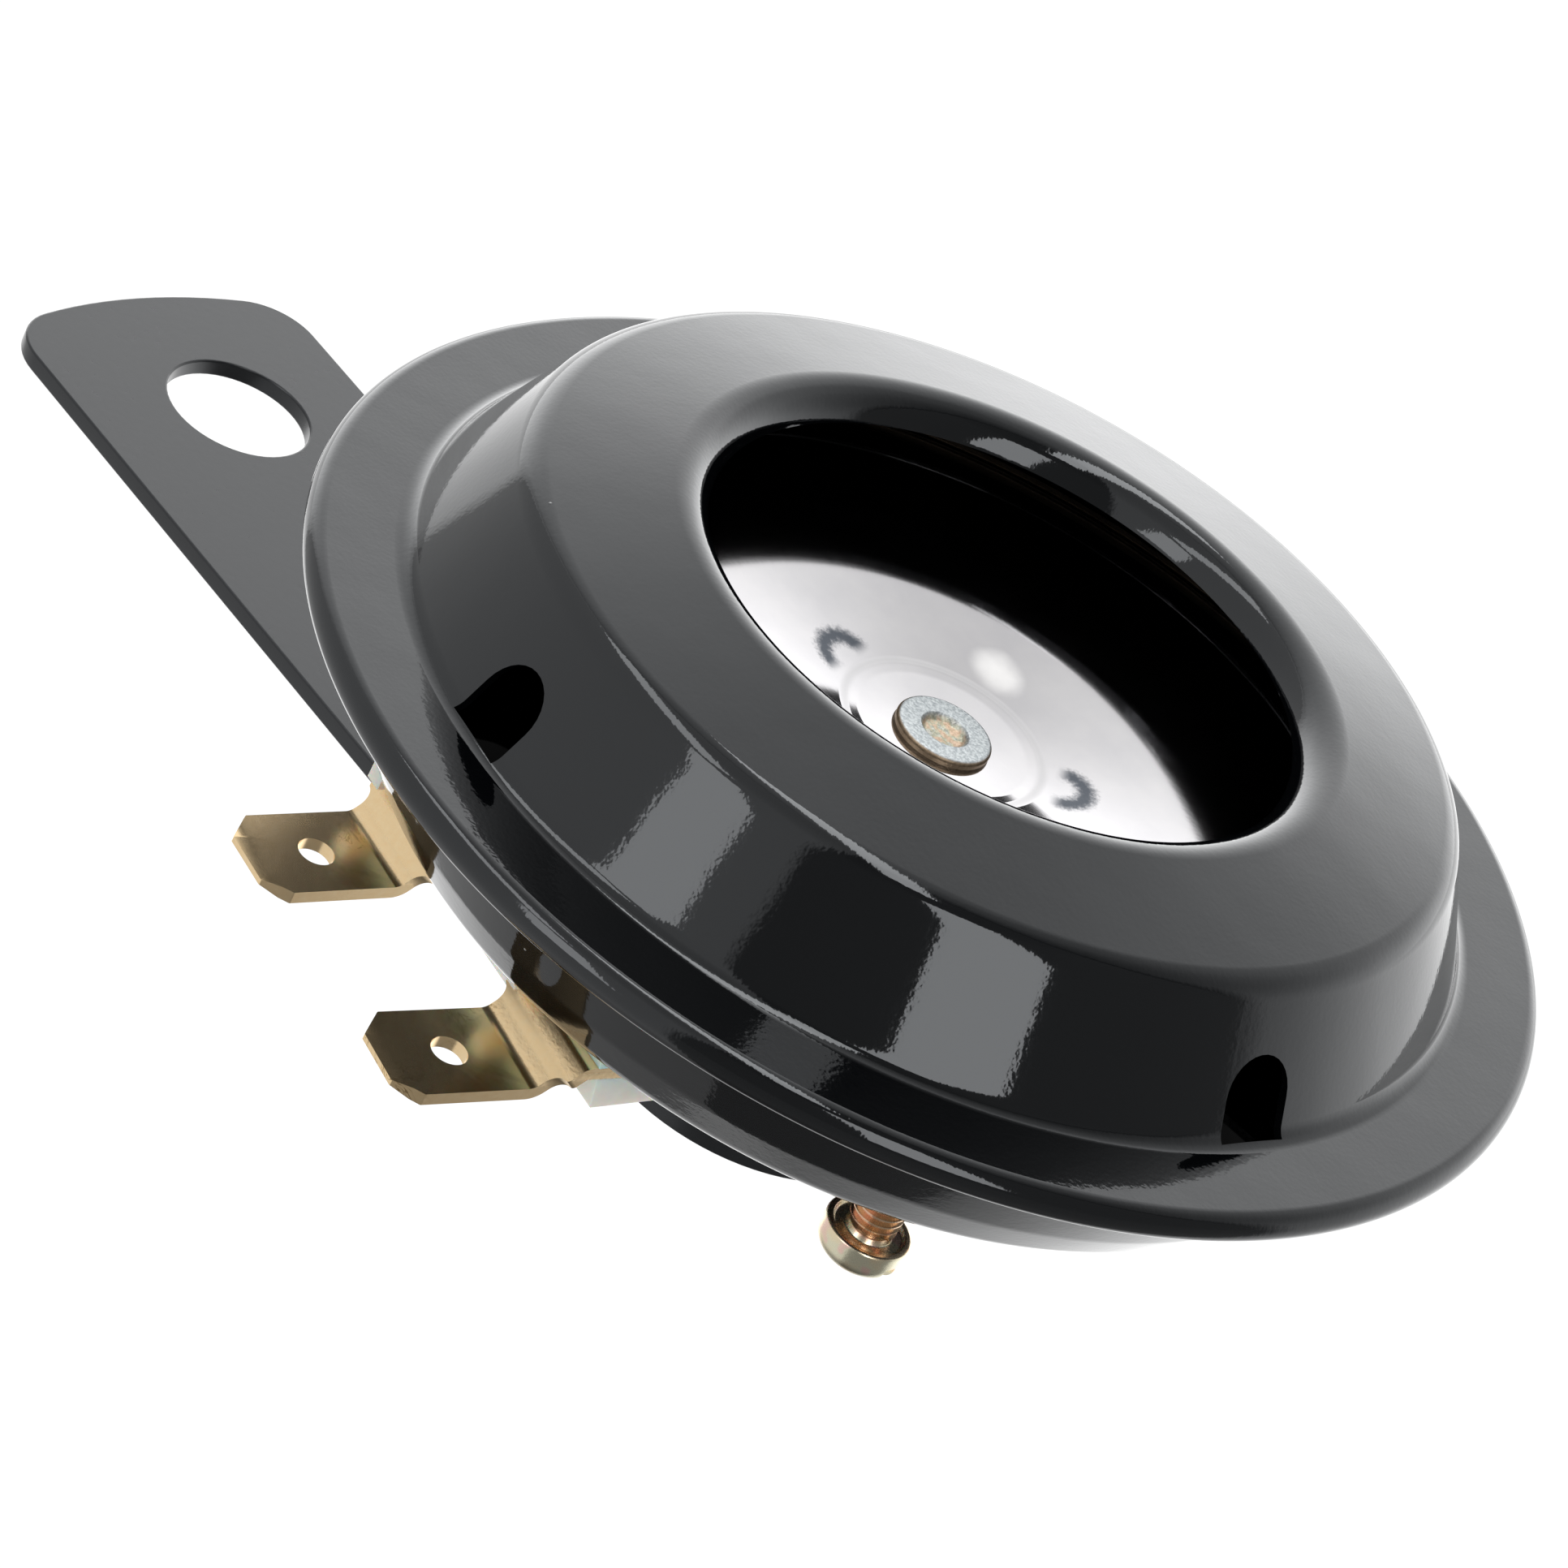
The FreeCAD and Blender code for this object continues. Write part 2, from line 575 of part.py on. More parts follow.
def front_cover():
    """Pressed cover: flange, sloping wall with drain slots, crown and the lip turned into the mouth."""
    body = new_body("front_cover", turn=dims.vent_azimuth)
    ridge = (dims.mouth_radius, dims.ridge_height)
    crown_width = SHOULDER_RADIUS - dims.mouth_radius
    shoulder = (SHOULDER_RADIUS, dims.ridge_height - crown_width * tangent(dims.crown_lean))
    foot = (COVER_FOOT_RADIUS, dims.cover_gauge)
    points = [
        (dims.mouth_radius, dims.ridge_height - dims.lip_depth),
        ridge,
        shoulder,
        foot,
        (CLAMPED_RADIUS, dims.cover_gauge),
    ]
    sketch = new_sketch(body, "XZ_Plane")
    far = draw_sheet(sketch, points, dims.cover_gauge)
    revolve(body, sketch)
    bend(body, far[1], values(ridge), dims.ridge_bend, dims.cover_gauge)
    bend(body, far[2], values(shoulder), dims.shoulder_bend, dims.cover_gauge)
    bend(body, values(foot), far[3], dims.cover_foot_bend, dims.cover_gauge)
    cut_vents(body)
    return body


def cut_vents(body):
    """Upright obround drain slots through the cover's wall, spaced evenly round it."""
    sketch = new_sketch(body, "YZ_Plane", CLAMPED_RADIUS)
    radius = dims.vent_width / 2
    low = dims.vent_low + radius
    high = dims.vent_high - radius
    left, right = vector(-radius.value, low.value), vector(radius.value, low.value)
    left_top, right_top = vector(-radius.value, high.value), vector(radius.value, high.value)
    up = FreeCAD.Vector(0, 0, 1)
    low_circle = Part.Circle(vector(0, low.value), up, radius.value)
    high_circle = Part.Circle(vector(0, high.value), up, radius.value)
    sketch.addGeometry(
        [
            Part.LineSegment(right, right_top),
            Part.ArcOfCircle(high_circle, 0, math.pi),
            Part.LineSegment(left_top, left),
            Part.ArcOfCircle(low_circle, math.pi, 2 * math.pi),
        ],
        False,
    )
    for edge, end, following, start in ((0, 2, 1, 1), (1, 2, 2, 1), (2, 2, 3, 1), (3, 2, 0, 1)):
        sketch.addConstraint(Sketcher.Constraint("Tangent", edge, end, following, start))
    bind(sketch, "Radius", (3,), radius)
    pin(sketch, 3, 3, NOUGHT, low)
    pin(sketch, 1, 3, NOUGHT, high)
    first = pocket(body, sketch, CLAMPED_RADIUS - SHOULDER_RADIUS + dims.shoulder_bend)
    pattern = body.newObject("PartDesign::PolarPattern", "front_cover_vents")
    pattern.Originals = [first]
    axis = next(feature for feature in body.Origin.OriginFeatures if feature.Role == "Z_Axis")
    pattern.Axis = (axis, [""])
    pattern.Angle = 360
    pattern.setExpression("Occurrences", dims.vent_count.text)
    set_tip(body, pattern)


def screw_place():
    """The adjusting screw's axis in the horn's frame."""
    along = turned(dims.breaker_reach, NOUGHT, dims.breaker_turn)
    return BREAKER_X + along[0], BREAKER_Y + along[1]


def rivet_place(side):
    """A terminal rivet's axis in the horn's frame; side is -1 for the left one and 1 for the right."""
    return turned(TERMINAL_REACH, side * dims.terminal_pitch / 2, dims.block_azimuth)


def breaker_rivet_places():
    """The breaker's two rivets in the horn's frame."""
    along = turned(dims.breaker_rivet_pitch / 2, NOUGHT, dims.breaker_turn)
    return [
        (BREAKER_X + side * along[0], BREAKER_Y + side * along[1])
        for side in (-1, 1)
    ]


def rear_case():
    """Drawn case: folded rim, sloping wall, flat shelf, coil cup and the screw's extruded collar."""
    body = new_body("rear_case")
    throat = (THROAT_RADIUS, CASE_FLANGE_LOW)
    shelf = (SHELF_RADIUS, SHELF_OUTSIDE)
    cup_mouth = (dims.cup_radius, SHELF_OUTSIDE)
    cup_foot = (dims.cup_radius, CUP_OUTSIDE)
    points = [
        (FOLD_RADIUS, FOLD_TOP),
        (dims.rim_radius, FOLD_TOP),
        (dims.rim_radius, CASE_FLANGE_LOW),
        throat,
        shelf,
        cup_mouth,
        cup_foot,
        (dims.stud_radius + dims.fit_clearance, CUP_OUTSIDE),
    ]
    sketch = new_sketch(body, "XZ_Plane")
    far = draw_sheet(sketch, points, dims.case_gauge)
    revolve(body, sketch)
    gauge = dims.case_gauge
    bend(body, far[1], values(points[1]), dims.fold_bend, gauge)
    bend(body, far[2], values(points[2]), dims.fold_bend, gauge)
    bend(body, values(throat), far[3], dims.case_throat_bend, gauge)
    bend(body, far[4], values(shelf), dims.shelf_bend, gauge)
    bend(body, values(cup_mouth), far[5], dims.cup_mouth_bend, gauge)
    bend(body, far[6], values(cup_foot), dims.cup_bend, gauge)
    screw_x, screw_y = screw_place()
    bore = dims.screw_radius + dims.screw_fit
    collar = new_sketch(body, "XY_Plane", SHELF_OUTSIDE - dims.collar_length)
    draw_circle(collar, screw_x, screw_y, bore + dims.collar_wall)
    pad(body, collar, dims.collar_length)
    drill(body, SHELF_INSIDE, dims.collar_length + dims.case_gauge, [(screw_x, screw_y, bore)])
    holes = [(x, y, dims.collar_radius + dims.fit_clearance) for x, y in map(rivet_place, (-1, 1))]
    holes += [(x, y, dims.breaker_rivet_radius) for x, y in breaker_rivet_places()]
    drill(body, SHELF_INSIDE, dims.case_gauge, holes)
    return body


def gasket(name, low):
    """Flat paper ring between the diaphragm and a flange."""
    start = CLAMP_RADIUS + dims.gasket_inset
    return turned_body(name, rectangle(start, CLAMPED_RADIUS, low, low + dims.gasket_gauge))


def diaphragm():
    """Thin spring disc: flat centre with a raised ring, shallow cone, rounded crest and clamped edge."""
    body = new_body("diaphragm")
    half = dims.bead_width / 2
    bead_top = dims.boss_height + dims.bead_height
    crest = (CREST_RADIUS, dims.crest_height)
    entry = (CLAMP_RADIUS, GASKET_FRONT_LOW)
    points = [
        (dims.centre_rivet_radius, dims.boss_height),
        (dims.bead_radius - half, dims.boss_height),
        (dims.bead_radius - half / 2, bead_top),
        (dims.bead_radius + half / 2, bead_top),
        (dims.bead_radius + half, dims.cone_foot_height),
        crest,
        entry,
        (CLAMPED_RADIUS, GASKET_FRONT_LOW),
    ]
    sketch = new_sketch(body, "XZ_Plane")
    far = draw_sheet(sketch, points, dims.diaphragm_gauge)
    revolve(body, sketch)
    bend(body, far[5], values(crest), dims.crest_bend, dims.diaphragm_gauge)
    bend(body, values(entry), far[6], dims.clamp_bend, dims.diaphragm_gauge)
    return body


def centre_rivet():
    """Rivet that holds diaphragm, washer and armature, with a dimple in its head."""
    top = dims.boss_height + dims.centre_rivet_rise
    floor = top - dims.centre_rivet_dimple_depth
    shank_end = ARMATURE_TOP - dims.centre_rivet_grip
    body = turned_body("centre_rivet", [
        (NOUGHT, shank_end),
        (dims.centre_rivet_radius, shank_end),
        (dims.centre_rivet_radius, dims.boss_height),
        (dims.centre_rivet_head, dims.boss_height),
        (dims.centre_rivet_head, top),
        (dims.centre_rivet_dimple, top),
        (dims.centre_rivet_dimple_floor, floor),
        (NOUGHT, floor),
    ])
    round_ring(body, (dims.centre_rivet_head.value, top.value), dims.centre_rivet_edge)
    return body


def armature_washer():
    return turned_body("armature_washer", rectangle(
        dims.centre_rivet_radius, dims.washer_radius, ARMATURE_TOP, DIAPHRAGM_BACK))


def armature():
    """Iron disc with a boss that dips into the coil, and a blind bore for the rivet."""
    edge = dims.armature_edge
    boss_radius = dims.core_radius - dims.armature_boss_inset
    bore_floor = ARMATURE_TOP - dims.centre_rivet_grip
    return turned_body("armature", [
        (NOUGHT, ARMATURE_LOW),
        (boss_radius - edge, ARMATURE_LOW),
        (boss_radius, ARMATURE_LOW + edge),
        (boss_radius, ARMATURE_DISC_LOW),
        (dims.armature_radius - edge, ARMATURE_DISC_LOW),
        (dims.armature_radius, ARMATURE_DISC_LOW + edge),
        (dims.armature_radius, ARMATURE_TOP - edge),
        (dims.armature_radius - edge, ARMATURE_TOP),
        (dims.centre_rivet_radius, ARMATURE_TOP),
        (dims.centre_rivet_radius, bore_floor),
        (NOUGHT, bore_floor),
    ])


def pole_core():
    """Magnet core that stands in the cup, in one with the threaded stud behind it."""
    edge = dims.stud_edge
    return turned_body("pole_core", [
        (NOUGHT, STUD_END),
        (dims.stud_radius - edge, STUD_END),
        (dims.stud_radius, STUD_END + edge),
        (dims.stud_radius, CUP_INSIDE),
        (dims.core_radius, CUP_INSIDE),
        (dims.core_radius, CORE_TOP),
        (NOUGHT, CORE_TOP),
    ])


def coil_bobbin():
    """Moulded bobbin with two flanges."""
    bore = dims.core_radius + dims.fit_clearance
    hub = bore + dims.bobbin_wall
    return turned_body("coil_bobbin", [
        (bore, CUP_INSIDE),
        (BOBBIN_RADIUS, CUP_INSIDE),
        (BOBBIN_RADIUS, CUP_INSIDE + dims.bobbin_flange),
        (hub, CUP_INSIDE + dims.bobbin_flange),
        (hub, BOBBIN_TOP - dims.bobbin_flange),
        (BOBBIN_RADIUS, BOBBIN_TOP - dims.bobbin_flange),
        (BOBBIN_RADIUS, BOBBIN_TOP),
        (bore, BOBBIN_TOP),
    ])


def coil_winding():
    """Enamelled copper wire between the bobbin's flanges, as one solid."""
    low = CUP_INSIDE + dims.bobbin_flange
    top = BOBBIN_TOP - dims.bobbin_flange
    hub = dims.core_radius + dims.fit_clearance + dims.bobbin_wall
    body = turned_body("coil_winding", rectangle(hub, WINDING_RADIUS, low, top))
    for height in (low, top):
        round_ring(body, (WINDING_RADIUS.value, height.value), dims.winding_edge)
    return body


def hexagon(flats):
    """Corners of a hexagon with flats at the top and bottom of the sketch."""
    half = flats / 2
    corner = half / cosine(as_size(HEXAGON_HALF_SECTOR))
    side = corner / 2
    return [
        (corner, NOUGHT),
        (side, half),
        (-side, half),
        (-corner, NOUGHT),
        (-side, -half),
        (side, -half),
    ]


def nut(name, low, height):
    """Hexagon nut on the stud, with chamfered corners at both ends."""
    body = new_body(name)
    plate(body, low, height, hexagon(dims.nut_flats))
    top = low + height
    drill(body, top, height, [(NOUGHT, NOUGHT, dims.stud_radius)])
    flat = dims.nut_flats / 2
    past = dims.nut_flats
    fall = (past - flat) * tangent(dims.nut_chamfer)
    for face, inward in ((top, -1), (low, 1)):
        sketch = new_sketch(body, "XZ_Plane")
        draw_outline(sketch, [(flat, face), (past, face), (past, face + inward * fall)])
        groove(body, sketch)
    return body


def spring_washer():
    """Split washer under the bracket nut, drawn flat as it is when tight."""
    bore = dims.stud_radius + dims.fit_clearance
    section = rectangle(bore, dims.spring_washer_radius, SPRING_WASHER_LOW, BRACKET_REAR)
    body = turned_body("spring_washer", section)
    half = dims.spring_washer_slit / 2
    slit = rectangle(NOUGHT, dims.spring_washer_radius, -half, half)
    sketch = draw_outline(new_sketch(body, "XY_Plane", BRACKET_REAR), slit)
    pocket(body, sketch, dims.spring_washer_height)
    return body


def mounting_bracket():
    """Flat steel strip with a round end on the stud and a screw hole at the free end."""
    body = place_body("mounting_bracket", NOUGHT, NOUGHT, NOUGHT, dims.bracket_turn)
    half = dims.bracket_width / 2
    near, far = dims.bracket_side - half, dims.bracket_side + half
    round_centre = dims.bracket_reach - dims.bracket_round_back
    corners = rectangle(-dims.bracket_end, round_centre, near, far)
    plate(body, -dims.bracket_gauge, dims.bracket_gauge, corners)
    bow_free_end(body, half)
    bow_fall = dims.bracket_bow - root(dims.bracket_bow * dims.bracket_bow - half * half)
    bow_end = bow_fall - dims.bracket_end
    round_uprights(body, [(bow_end, near), (bow_end, far)], dims.bracket_corner)
    round_end = new_sketch(body, "XY_Plane", -dims.bracket_gauge)
    draw_circle(round_end, round_centre, dims.bracket_side, half)
    pad(body, round_end, dims.bracket_gauge)
    holes = [
        (NOUGHT, NOUGHT, dims.bracket_hole),
        (dims.bracket_reach, NOUGHT, dims.stud_radius + dims.fit_clearance),
    ]
    drill(body, NOUGHT, dims.bracket_gauge, holes)
    return body


def bow_free_end(body, half):
    """Trims the bracket's free end to a wide arc."""
    sketch = new_sketch(body, "XY_Plane")
    radius = dims.bracket_bow
    centre_x = radius - dims.bracket_end
    past = -dims.bracket_end - dims.bracket_gauge
    reach = half + dims.bracket_gauge
    low, high = dims.bracket_side - reach, dims.bracket_side + reach
    opening = math.asin(reach.value / radius.value)
    centre = vector(centre_x.value, dims.bracket_side.value)
    circle = Part.Circle(centre, FreeCAD.Vector(0, 0, 1), radius.value)
    arc = Part.ArcOfCircle(circle, math.pi - opening, math.pi + opening)
    low_past, high_past = vector(past.value, low.value), vector(past.value, high.value)
    sketch.addGeometry(
        [
            Part.LineSegment(arc.EndPoint, low_past),
            Part.LineSegment(low_past, high_past),
            Part.LineSegment(high_past, arc.StartPoint),
            arc,
        ],
        False,
    )
    for edge, end, following, start in ((0, 2, 1, 1), (1, 2, 2, 1), (2, 2, 3, 1), (3, 2, 0, 1)):
        sketch.addConstraint(Sketcher.Constraint("Coincident", edge, end, following, start))
    for edge in (0, 2):
        sketch.addConstraint(Sketcher.Constraint("Horizontal", edge))
    pin(sketch, 1, 1, past, low)
    pin(sketch, 1, 2, past, high)
    bind(sketch, "Radius", (3,), radius)
    pin(sketch, 3, 3, centre_x, dims.bracket_side)
    pocket(body, sketch, dims.bracket_gauge)


def terminal_yaw(side):
    return dims.left_yaw if side < 0 else dims.right_yaw


def terminal_block():
    """Moulded block that carries both terminals, with a guide lug beside each."""
    body = new_body("terminal_block", turn=dims.block_azimuth)
    half = dims.block_half_width
    lean = tangent(dims.block_lean)
    start = TERMINAL_REACH - dims.block_behind
    end = TERMINAL_REACH + dims.block_ahead
    sketch = draw_outline(new_sketch(body, "XZ_Plane"), [
        (start, BLOCK_LOW),
        (end - (dims.block_height - dims.terminal_drop) * lean, BLOCK_LOW),
        (end + dims.terminal_drop * lean, SHELF_OUTSIDE),
        (start, SHELF_OUTSIDE),
    ])
    pad(body, sketch, half * 2, both_ways=True)
    round_uprights(body, [(start, -half), (start, half)], dims.block_corner)
    for side in (-1, 1):
        outer = side * dims.terminal_pitch / 2 - dims.lug_side
        lug = rectangle(end - dims.lug_reach, end + dims.lug_reach, outer, outer + dims.lug_width)
        plate(body, TERMINAL_FRONT, dims.terminal_drop, lug)
    cut_terminal_slots(body)
    return body


def slot_outline(side):
    """Outline of the slot that the terminal's foot lies in, in the block's frame."""
    yaw = terminal_yaw(side)
    half = dims.foot_width / 2 + dims.slot_clearance
    back = -dims.foot_back - dims.slot_clearance
    ahead = dims.block_ahead + dims.lug_reach * 2
    centre_y = side * dims.terminal_pitch / 2
    corners = []
    for x, y in rectangle(back, ahead, -half, half):
        along, across = turned(x, y, yaw)
        corners.append((TERMINAL_REACH + along, centre_y + across))
    return corners


def cut_terminal_slots(body):
    for side in (-1, 1):
        sketch = new_sketch(body, "XY_Plane", TERMINAL_FRONT)
        draw_outline(sketch, slot_outline(side))
        pocket(body, sketch, dims.terminal_gauge)
    holes = [
        (TERMINAL_REACH, side * dims.terminal_pitch / 2, dims.terminal_rivet_radius)
        for side in (-1, 1)
    ]
    drill(body, SHELF_OUTSIDE, dims.block_height, holes)


def terminal(name, side):
    """Brass blade with a wide riveted foot and a double bend that sets the blade further back."""
    x, y = rivet_place(side)
    body = new_body(name, x, y, dims.block_azimuth + terminal_yaw(side))
    blade_front = TERMINAL_FRONT - dims.bend_drop
    bend_start = (dims.foot_length, TERMINAL_FRONT)
    bend_end = (dims.foot_length + dims.bend_run, blade_front)
    tip = bend_end[0] + dims.blade_length
    points = [
        (-dims.foot_back, TERMINAL_FRONT),
        bend_start,
        bend_end,
        (tip, blade_front),
    ]
    sketch = new_sketch(body, "XZ_Plane")
    far = draw_sheet(sketch, points, dims.terminal_gauge)
    pad(body, sketch, dims.foot_width, both_ways=True)
    bend(body, far[1], values(bend_start), dims.bend_radius, dims.terminal_gauge, round_cross)
    bend(body, values(bend_end), far[2], dims.bend_radius, dims.terminal_gauge, round_cross)
    narrow_blade(body, bend_start[0] + dims.shoulder_reach, tip)
    coin_tip(body, tip, blade_front)
    drill(body, TERMINAL_FRONT, dims.terminal_gauge, [(NOUGHT, NOUGHT, dims.terminal_rivet_radius)])
    drill(body, blade_front, dims.terminal_gauge, [(tip - dims.blade_hole_back, NOUGHT, dims.blade_hole)])
    return body


def narrow_blade(body, start, tip):
    """Cuts the foot's width down to the blade's and chamfers the corners of the tip."""
    half = dims.blade_width / 2
    wide = dims.foot_width / 2 + dims.terminal_gauge
    past = tip + dims.terminal_gauge
    for side in (-1, 1):
        sketch = new_sketch(body, "XY_Plane", TERMINAL_FRONT)
        draw_outline(sketch, [
            (start, side * half),
            (tip - dims.blade_chamfer, side * half),
            (tip, side * (half - dims.blade_chamfer)),
            (past, side * (half - dims.blade_chamfer)),
            (past, side * wide),
            (start, side * wide),
        ])
        pocket(body, sketch, dims.bend_drop + dims.terminal_gauge * 2)


def coin_tip(body, tip, front):
    """Thins the blade's tip towards its edge on both faces."""
    for face, way in ((front, -1), (front - dims.terminal_gauge, 1)):
        bevel = draw_outline(new_sketch(body, "XZ_Plane"), [
            (tip - dims.tip_bevel, face),
            (tip, face + way * dims.tip_bevel_depth),
            (tip, face),
        ])
        pocket(body, bevel, dims.foot_width, both_ways=True)


def rivet(body, x, y, heights, radius, head_radius, head_rise):
    """Adds one two-headed rivet between the two heights to the body."""
    low, top = heights
    for start, length, size in (
        (low - head_rise, head_rise, head_radius),
        (low, top - low, radius),
        (top, head_rise, head_radius),
    ):
        sketch = draw_circle(new_sketch(body, "XY_Plane", start), x, y, size)
        pad(body, sketch, length)


def terminal_rivet(name, side):
    x, y = rivet_place(side)
    body = new_body(name, x, y)
    rivet(body, NOUGHT, NOUGHT, (BLOCK_LOW, TAG_TOP), dims.terminal_rivet_radius,
          dims.terminal_rivet_head, dims.terminal_rivet_rise)
    return body


def terminal_insulator():
    """Inner insulating plate with a collar round each terminal rivet."""
    body = new_body("terminal_insulator", turn=dims.block_azimuth)
    half = dims.insulator_half_width
    start = TERMINAL_REACH - dims.insulator_behind
    end = TERMINAL_REACH + dims.insulator_ahead
    corners = rectangle(start, end, -half, half)
    plate(body, SHELF_INSIDE, dims.insulator_gauge, corners)
    round_uprights(body, corners, dims.block_corner)
    centres = [(TERMINAL_REACH, side * dims.terminal_pitch / 2) for side in (-1, 1)]
    collars = new_sketch(body, "XY_Plane", SHELF_OUTSIDE)
    for x, y in centres:
        draw_circle(collars, x, y, dims.collar_radius)
    pad(body, collars, dims.case_gauge)
    depth = dims.insulator_gauge + dims.case_gauge
    drill(body, INSULATOR_TOP, depth, [(x, y, dims.terminal_rivet_radius) for x, y in centres])
    return body


def solder_tag(name, side):
    """Small brass tag on the inner end of a terminal rivet."""
    x, y = rivet_place(side)
    body = new_body(name, x, y, dims.block_azimuth)
    half = dims.tag_width / 2
    corners = rectangle(-dims.tag_length + half, half, -half, half)
    plate(body, INSULATOR_TOP, dims.tag_gauge, corners)
    round_uprights(body, corners, dims.arm_corner)
    drill(body, TAG_TOP, dims.tag_gauge, [(NOUGHT, NOUGHT, dims.terminal_rivet_radius)])
    return body


def breaker_body(name):
    return new_body(name, BREAKER_X, BREAKER_Y, dims.breaker_turn)


def drill_breaker_rivets(body, top, depth):
    half = dims.breaker_rivet_pitch / 2
    holes = [(side * half, NOUGHT, dims.breaker_rivet_radius) for side in (-1, 1)]
    drill(body, top, depth, holes)


def drill_contact_pin(body, top, depth):
    drill(body, top, depth, [(dims.contact_place, NOUGHT, dims.contact_pin_radius)])


def contact_insulator(name, low, height):
    """One insulating plate of the breaker's stack."""
    body = breaker_body(name)
    along, across = dims.stack_length / 2, dims.stack_width / 2
    plate(body, low, height, rectangle(-along, along, -across, across))
    drill_breaker_rivets(body, low + height, height)
    return body


def fixed_contact_arm():
    """Stiff arm whose end rests on the adjusting screw and carries the fixed contact."""
    body = breaker_body("fixed_contact_arm")
    half = dims.stack_width / 2
    end = dims.breaker_reach + dims.arm_past_screw
    corners = rectangle(-dims.stack_length / 2, end, -half, half)
    plate(body, FIXED_ARM_LOW, dims.fixed_arm_gauge, corners)
    round_uprights(body, corners, dims.arm_corner)
    drill_breaker_rivets(body, FIXED_ARM_TOP, dims.fixed_arm_gauge)
    drill_contact_pin(body, FIXED_ARM_TOP, dims.fixed_arm_gauge)
    return body


def moving_contact_arm():
    """Spring arm with the moving contact, and a tongue that the armature pushes."""
    body = breaker_body("moving_contact_arm")
    half = dims.stack_width / 2
    end = dims.contact_place + dims.arm_past_screw
    corners = rectangle(-dims.stack_length / 2, end, -half, half)
    plate(body, MOVING_ARM_LOW, dims.moving_arm_gauge, corners)
    round_uprights(body, corners, dims.arm_corner)
    tongue_half = dims.tongue_width / 2
    place = dims.tongue_place
    tongue = rectangle(place - tongue_half, place + tongue_half, -dims.tongue_reach, NOUGHT)
    plate(body, MOVING_ARM_LOW, dims.moving_arm_gauge, tongue)
    round_uprights(body, tongue[:2], dims.arm_corner)
    drill_breaker_rivets(body, MOVING_ARM_TOP, dims.moving_arm_gauge)
    drill_contact_pin(body, MOVING_ARM_TOP, dims.moving_arm_gauge)
    return body


def contact(name, face, arm_near, arm_far, way):
    """Contact point with a pin through its arm; way is 1 where the pin points up from the face."""
    body = new_body(name, *contact_centre())
    peen = arm_far + way * dims.contact_pin_peen
    revolve(body, draw_outline(new_sketch(body, "XZ_Plane"), [
        (NOUGHT, face),
        (dims.contact_radius, face),
        (dims.contact_radius, arm_near),
        (dims.contact_pin_radius, arm_near),
        (dims.contact_pin_radius, peen),
        (NOUGHT, peen),
    ]))
    return body


def contact_centre():
    along = turned(dims.contact_place, NOUGHT, dims.breaker_turn)
    return BREAKER_X + along[0], BREAKER_Y + along[1]


def contact_rivet(name, place):
    body = new_body(name, *place)
    rivet(body, NOUGHT, NOUGHT, (SHELF_OUTSIDE, STACK_TOP), dims.breaker_rivet_radius,
          dims.breaker_rivet_head, dims.breaker_rivet_rise)
    return body


def adjusting_screw():
    """Slotted screw that lifts the fixed arm; its head stands off behind the shelf."""
    body = new_body("adjusting_screw", *screw_place())
    low = SCREW_HEAD_TOP - dims.screw_head_height
    revolve(body, draw_outline(new_sketch(body, "XZ_Plane"), [
        (NOUGHT, low),
        (dims.screw_head_radius, low),
        (dims.screw_head_radius, SCREW_HEAD_TOP),
        (dims.screw_radius, SCREW_HEAD_TOP),
        (dims.screw_radius, SCREW_TIP),
        (NOUGHT, SCREW_TIP),
    ]))
    round_ring(body, (dims.screw_head_radius.value, low.value), dims.screw_head_edge)
    half = dims.screw_slot_width / 2
    slot = rectangle(-dims.screw_head_radius, dims.screw_head_radius, -half, half)
    sketch = draw_outline(new_sketch(body, "XY_Plane", low + dims.screw_slot_depth), slot)
    pocket(body, sketch, dims.screw_head_height)
    return body


def build():
    front_cover()
    rear_case()
    gasket("gasket_front", GASKET_FRONT_LOW)
    gasket("gasket_rear", CASE_FLANGE_TOP)
    diaphragm()
    centre_rivet()
    armature_washer()
    armature()
    pole_core()
    coil_bobbin()
    coil_winding()
    nut("core_nut", BRACKET_FRONT, dims.core_nut_height)
    nut("bracket_nut", BRACKET_NUT_LOW, dims.bracket_nut_height)
    spring_washer()
    mounting_bracket()
    terminal_block()
    for side, word in ((-1, "left"), (1, "right")):
        terminal("terminal_" + word, side)
        terminal_rivet("terminal_rivet_" + word, side)
        solder_tag("solder_tag_" + word, side)
    terminal_insulator()
    contact_insulator("contact_insulator_lower", SHELF_INSIDE, dims.stack_low)
    contact_insulator("contact_insulator_middle", FIXED_ARM_TOP, dims.stack_middle)
    contact_insulator("contact_insulator_upper", MOVING_ARM_TOP, dims.stack_upper)
    fixed_contact_arm()
    moving_contact_arm()
    meeting = FIXED_ARM_TOP + dims.stack_middle / 2
    contact("fixed_contact", meeting, FIXED_ARM_TOP, FIXED_ARM_LOW, -1)
    contact("moving_contact", meeting, MOVING_ARM_LOW, MOVING_ARM_TOP, 1)
    for number, place in enumerate(breaker_rivet_places(), 1):
        contact_rivet("contact_rivet_%d" % number, place)
    adjusting_screw()


def check_document():
    """Stops with the reason where an object failed or a piece has no sound shape."""
    for item in doc.Objects:
        if "Invalid" in item.State or "Error" in item.State:
            raise ValueError("%s failed: %s" % (item.Name, item.State))
    for body in BODIES:
        if body.Shape.isNull() or not body.Shape.isValid() or len(body.Shape.Solids) != 1:
            raise ValueError("%s is not one sound solid" % body.Label)


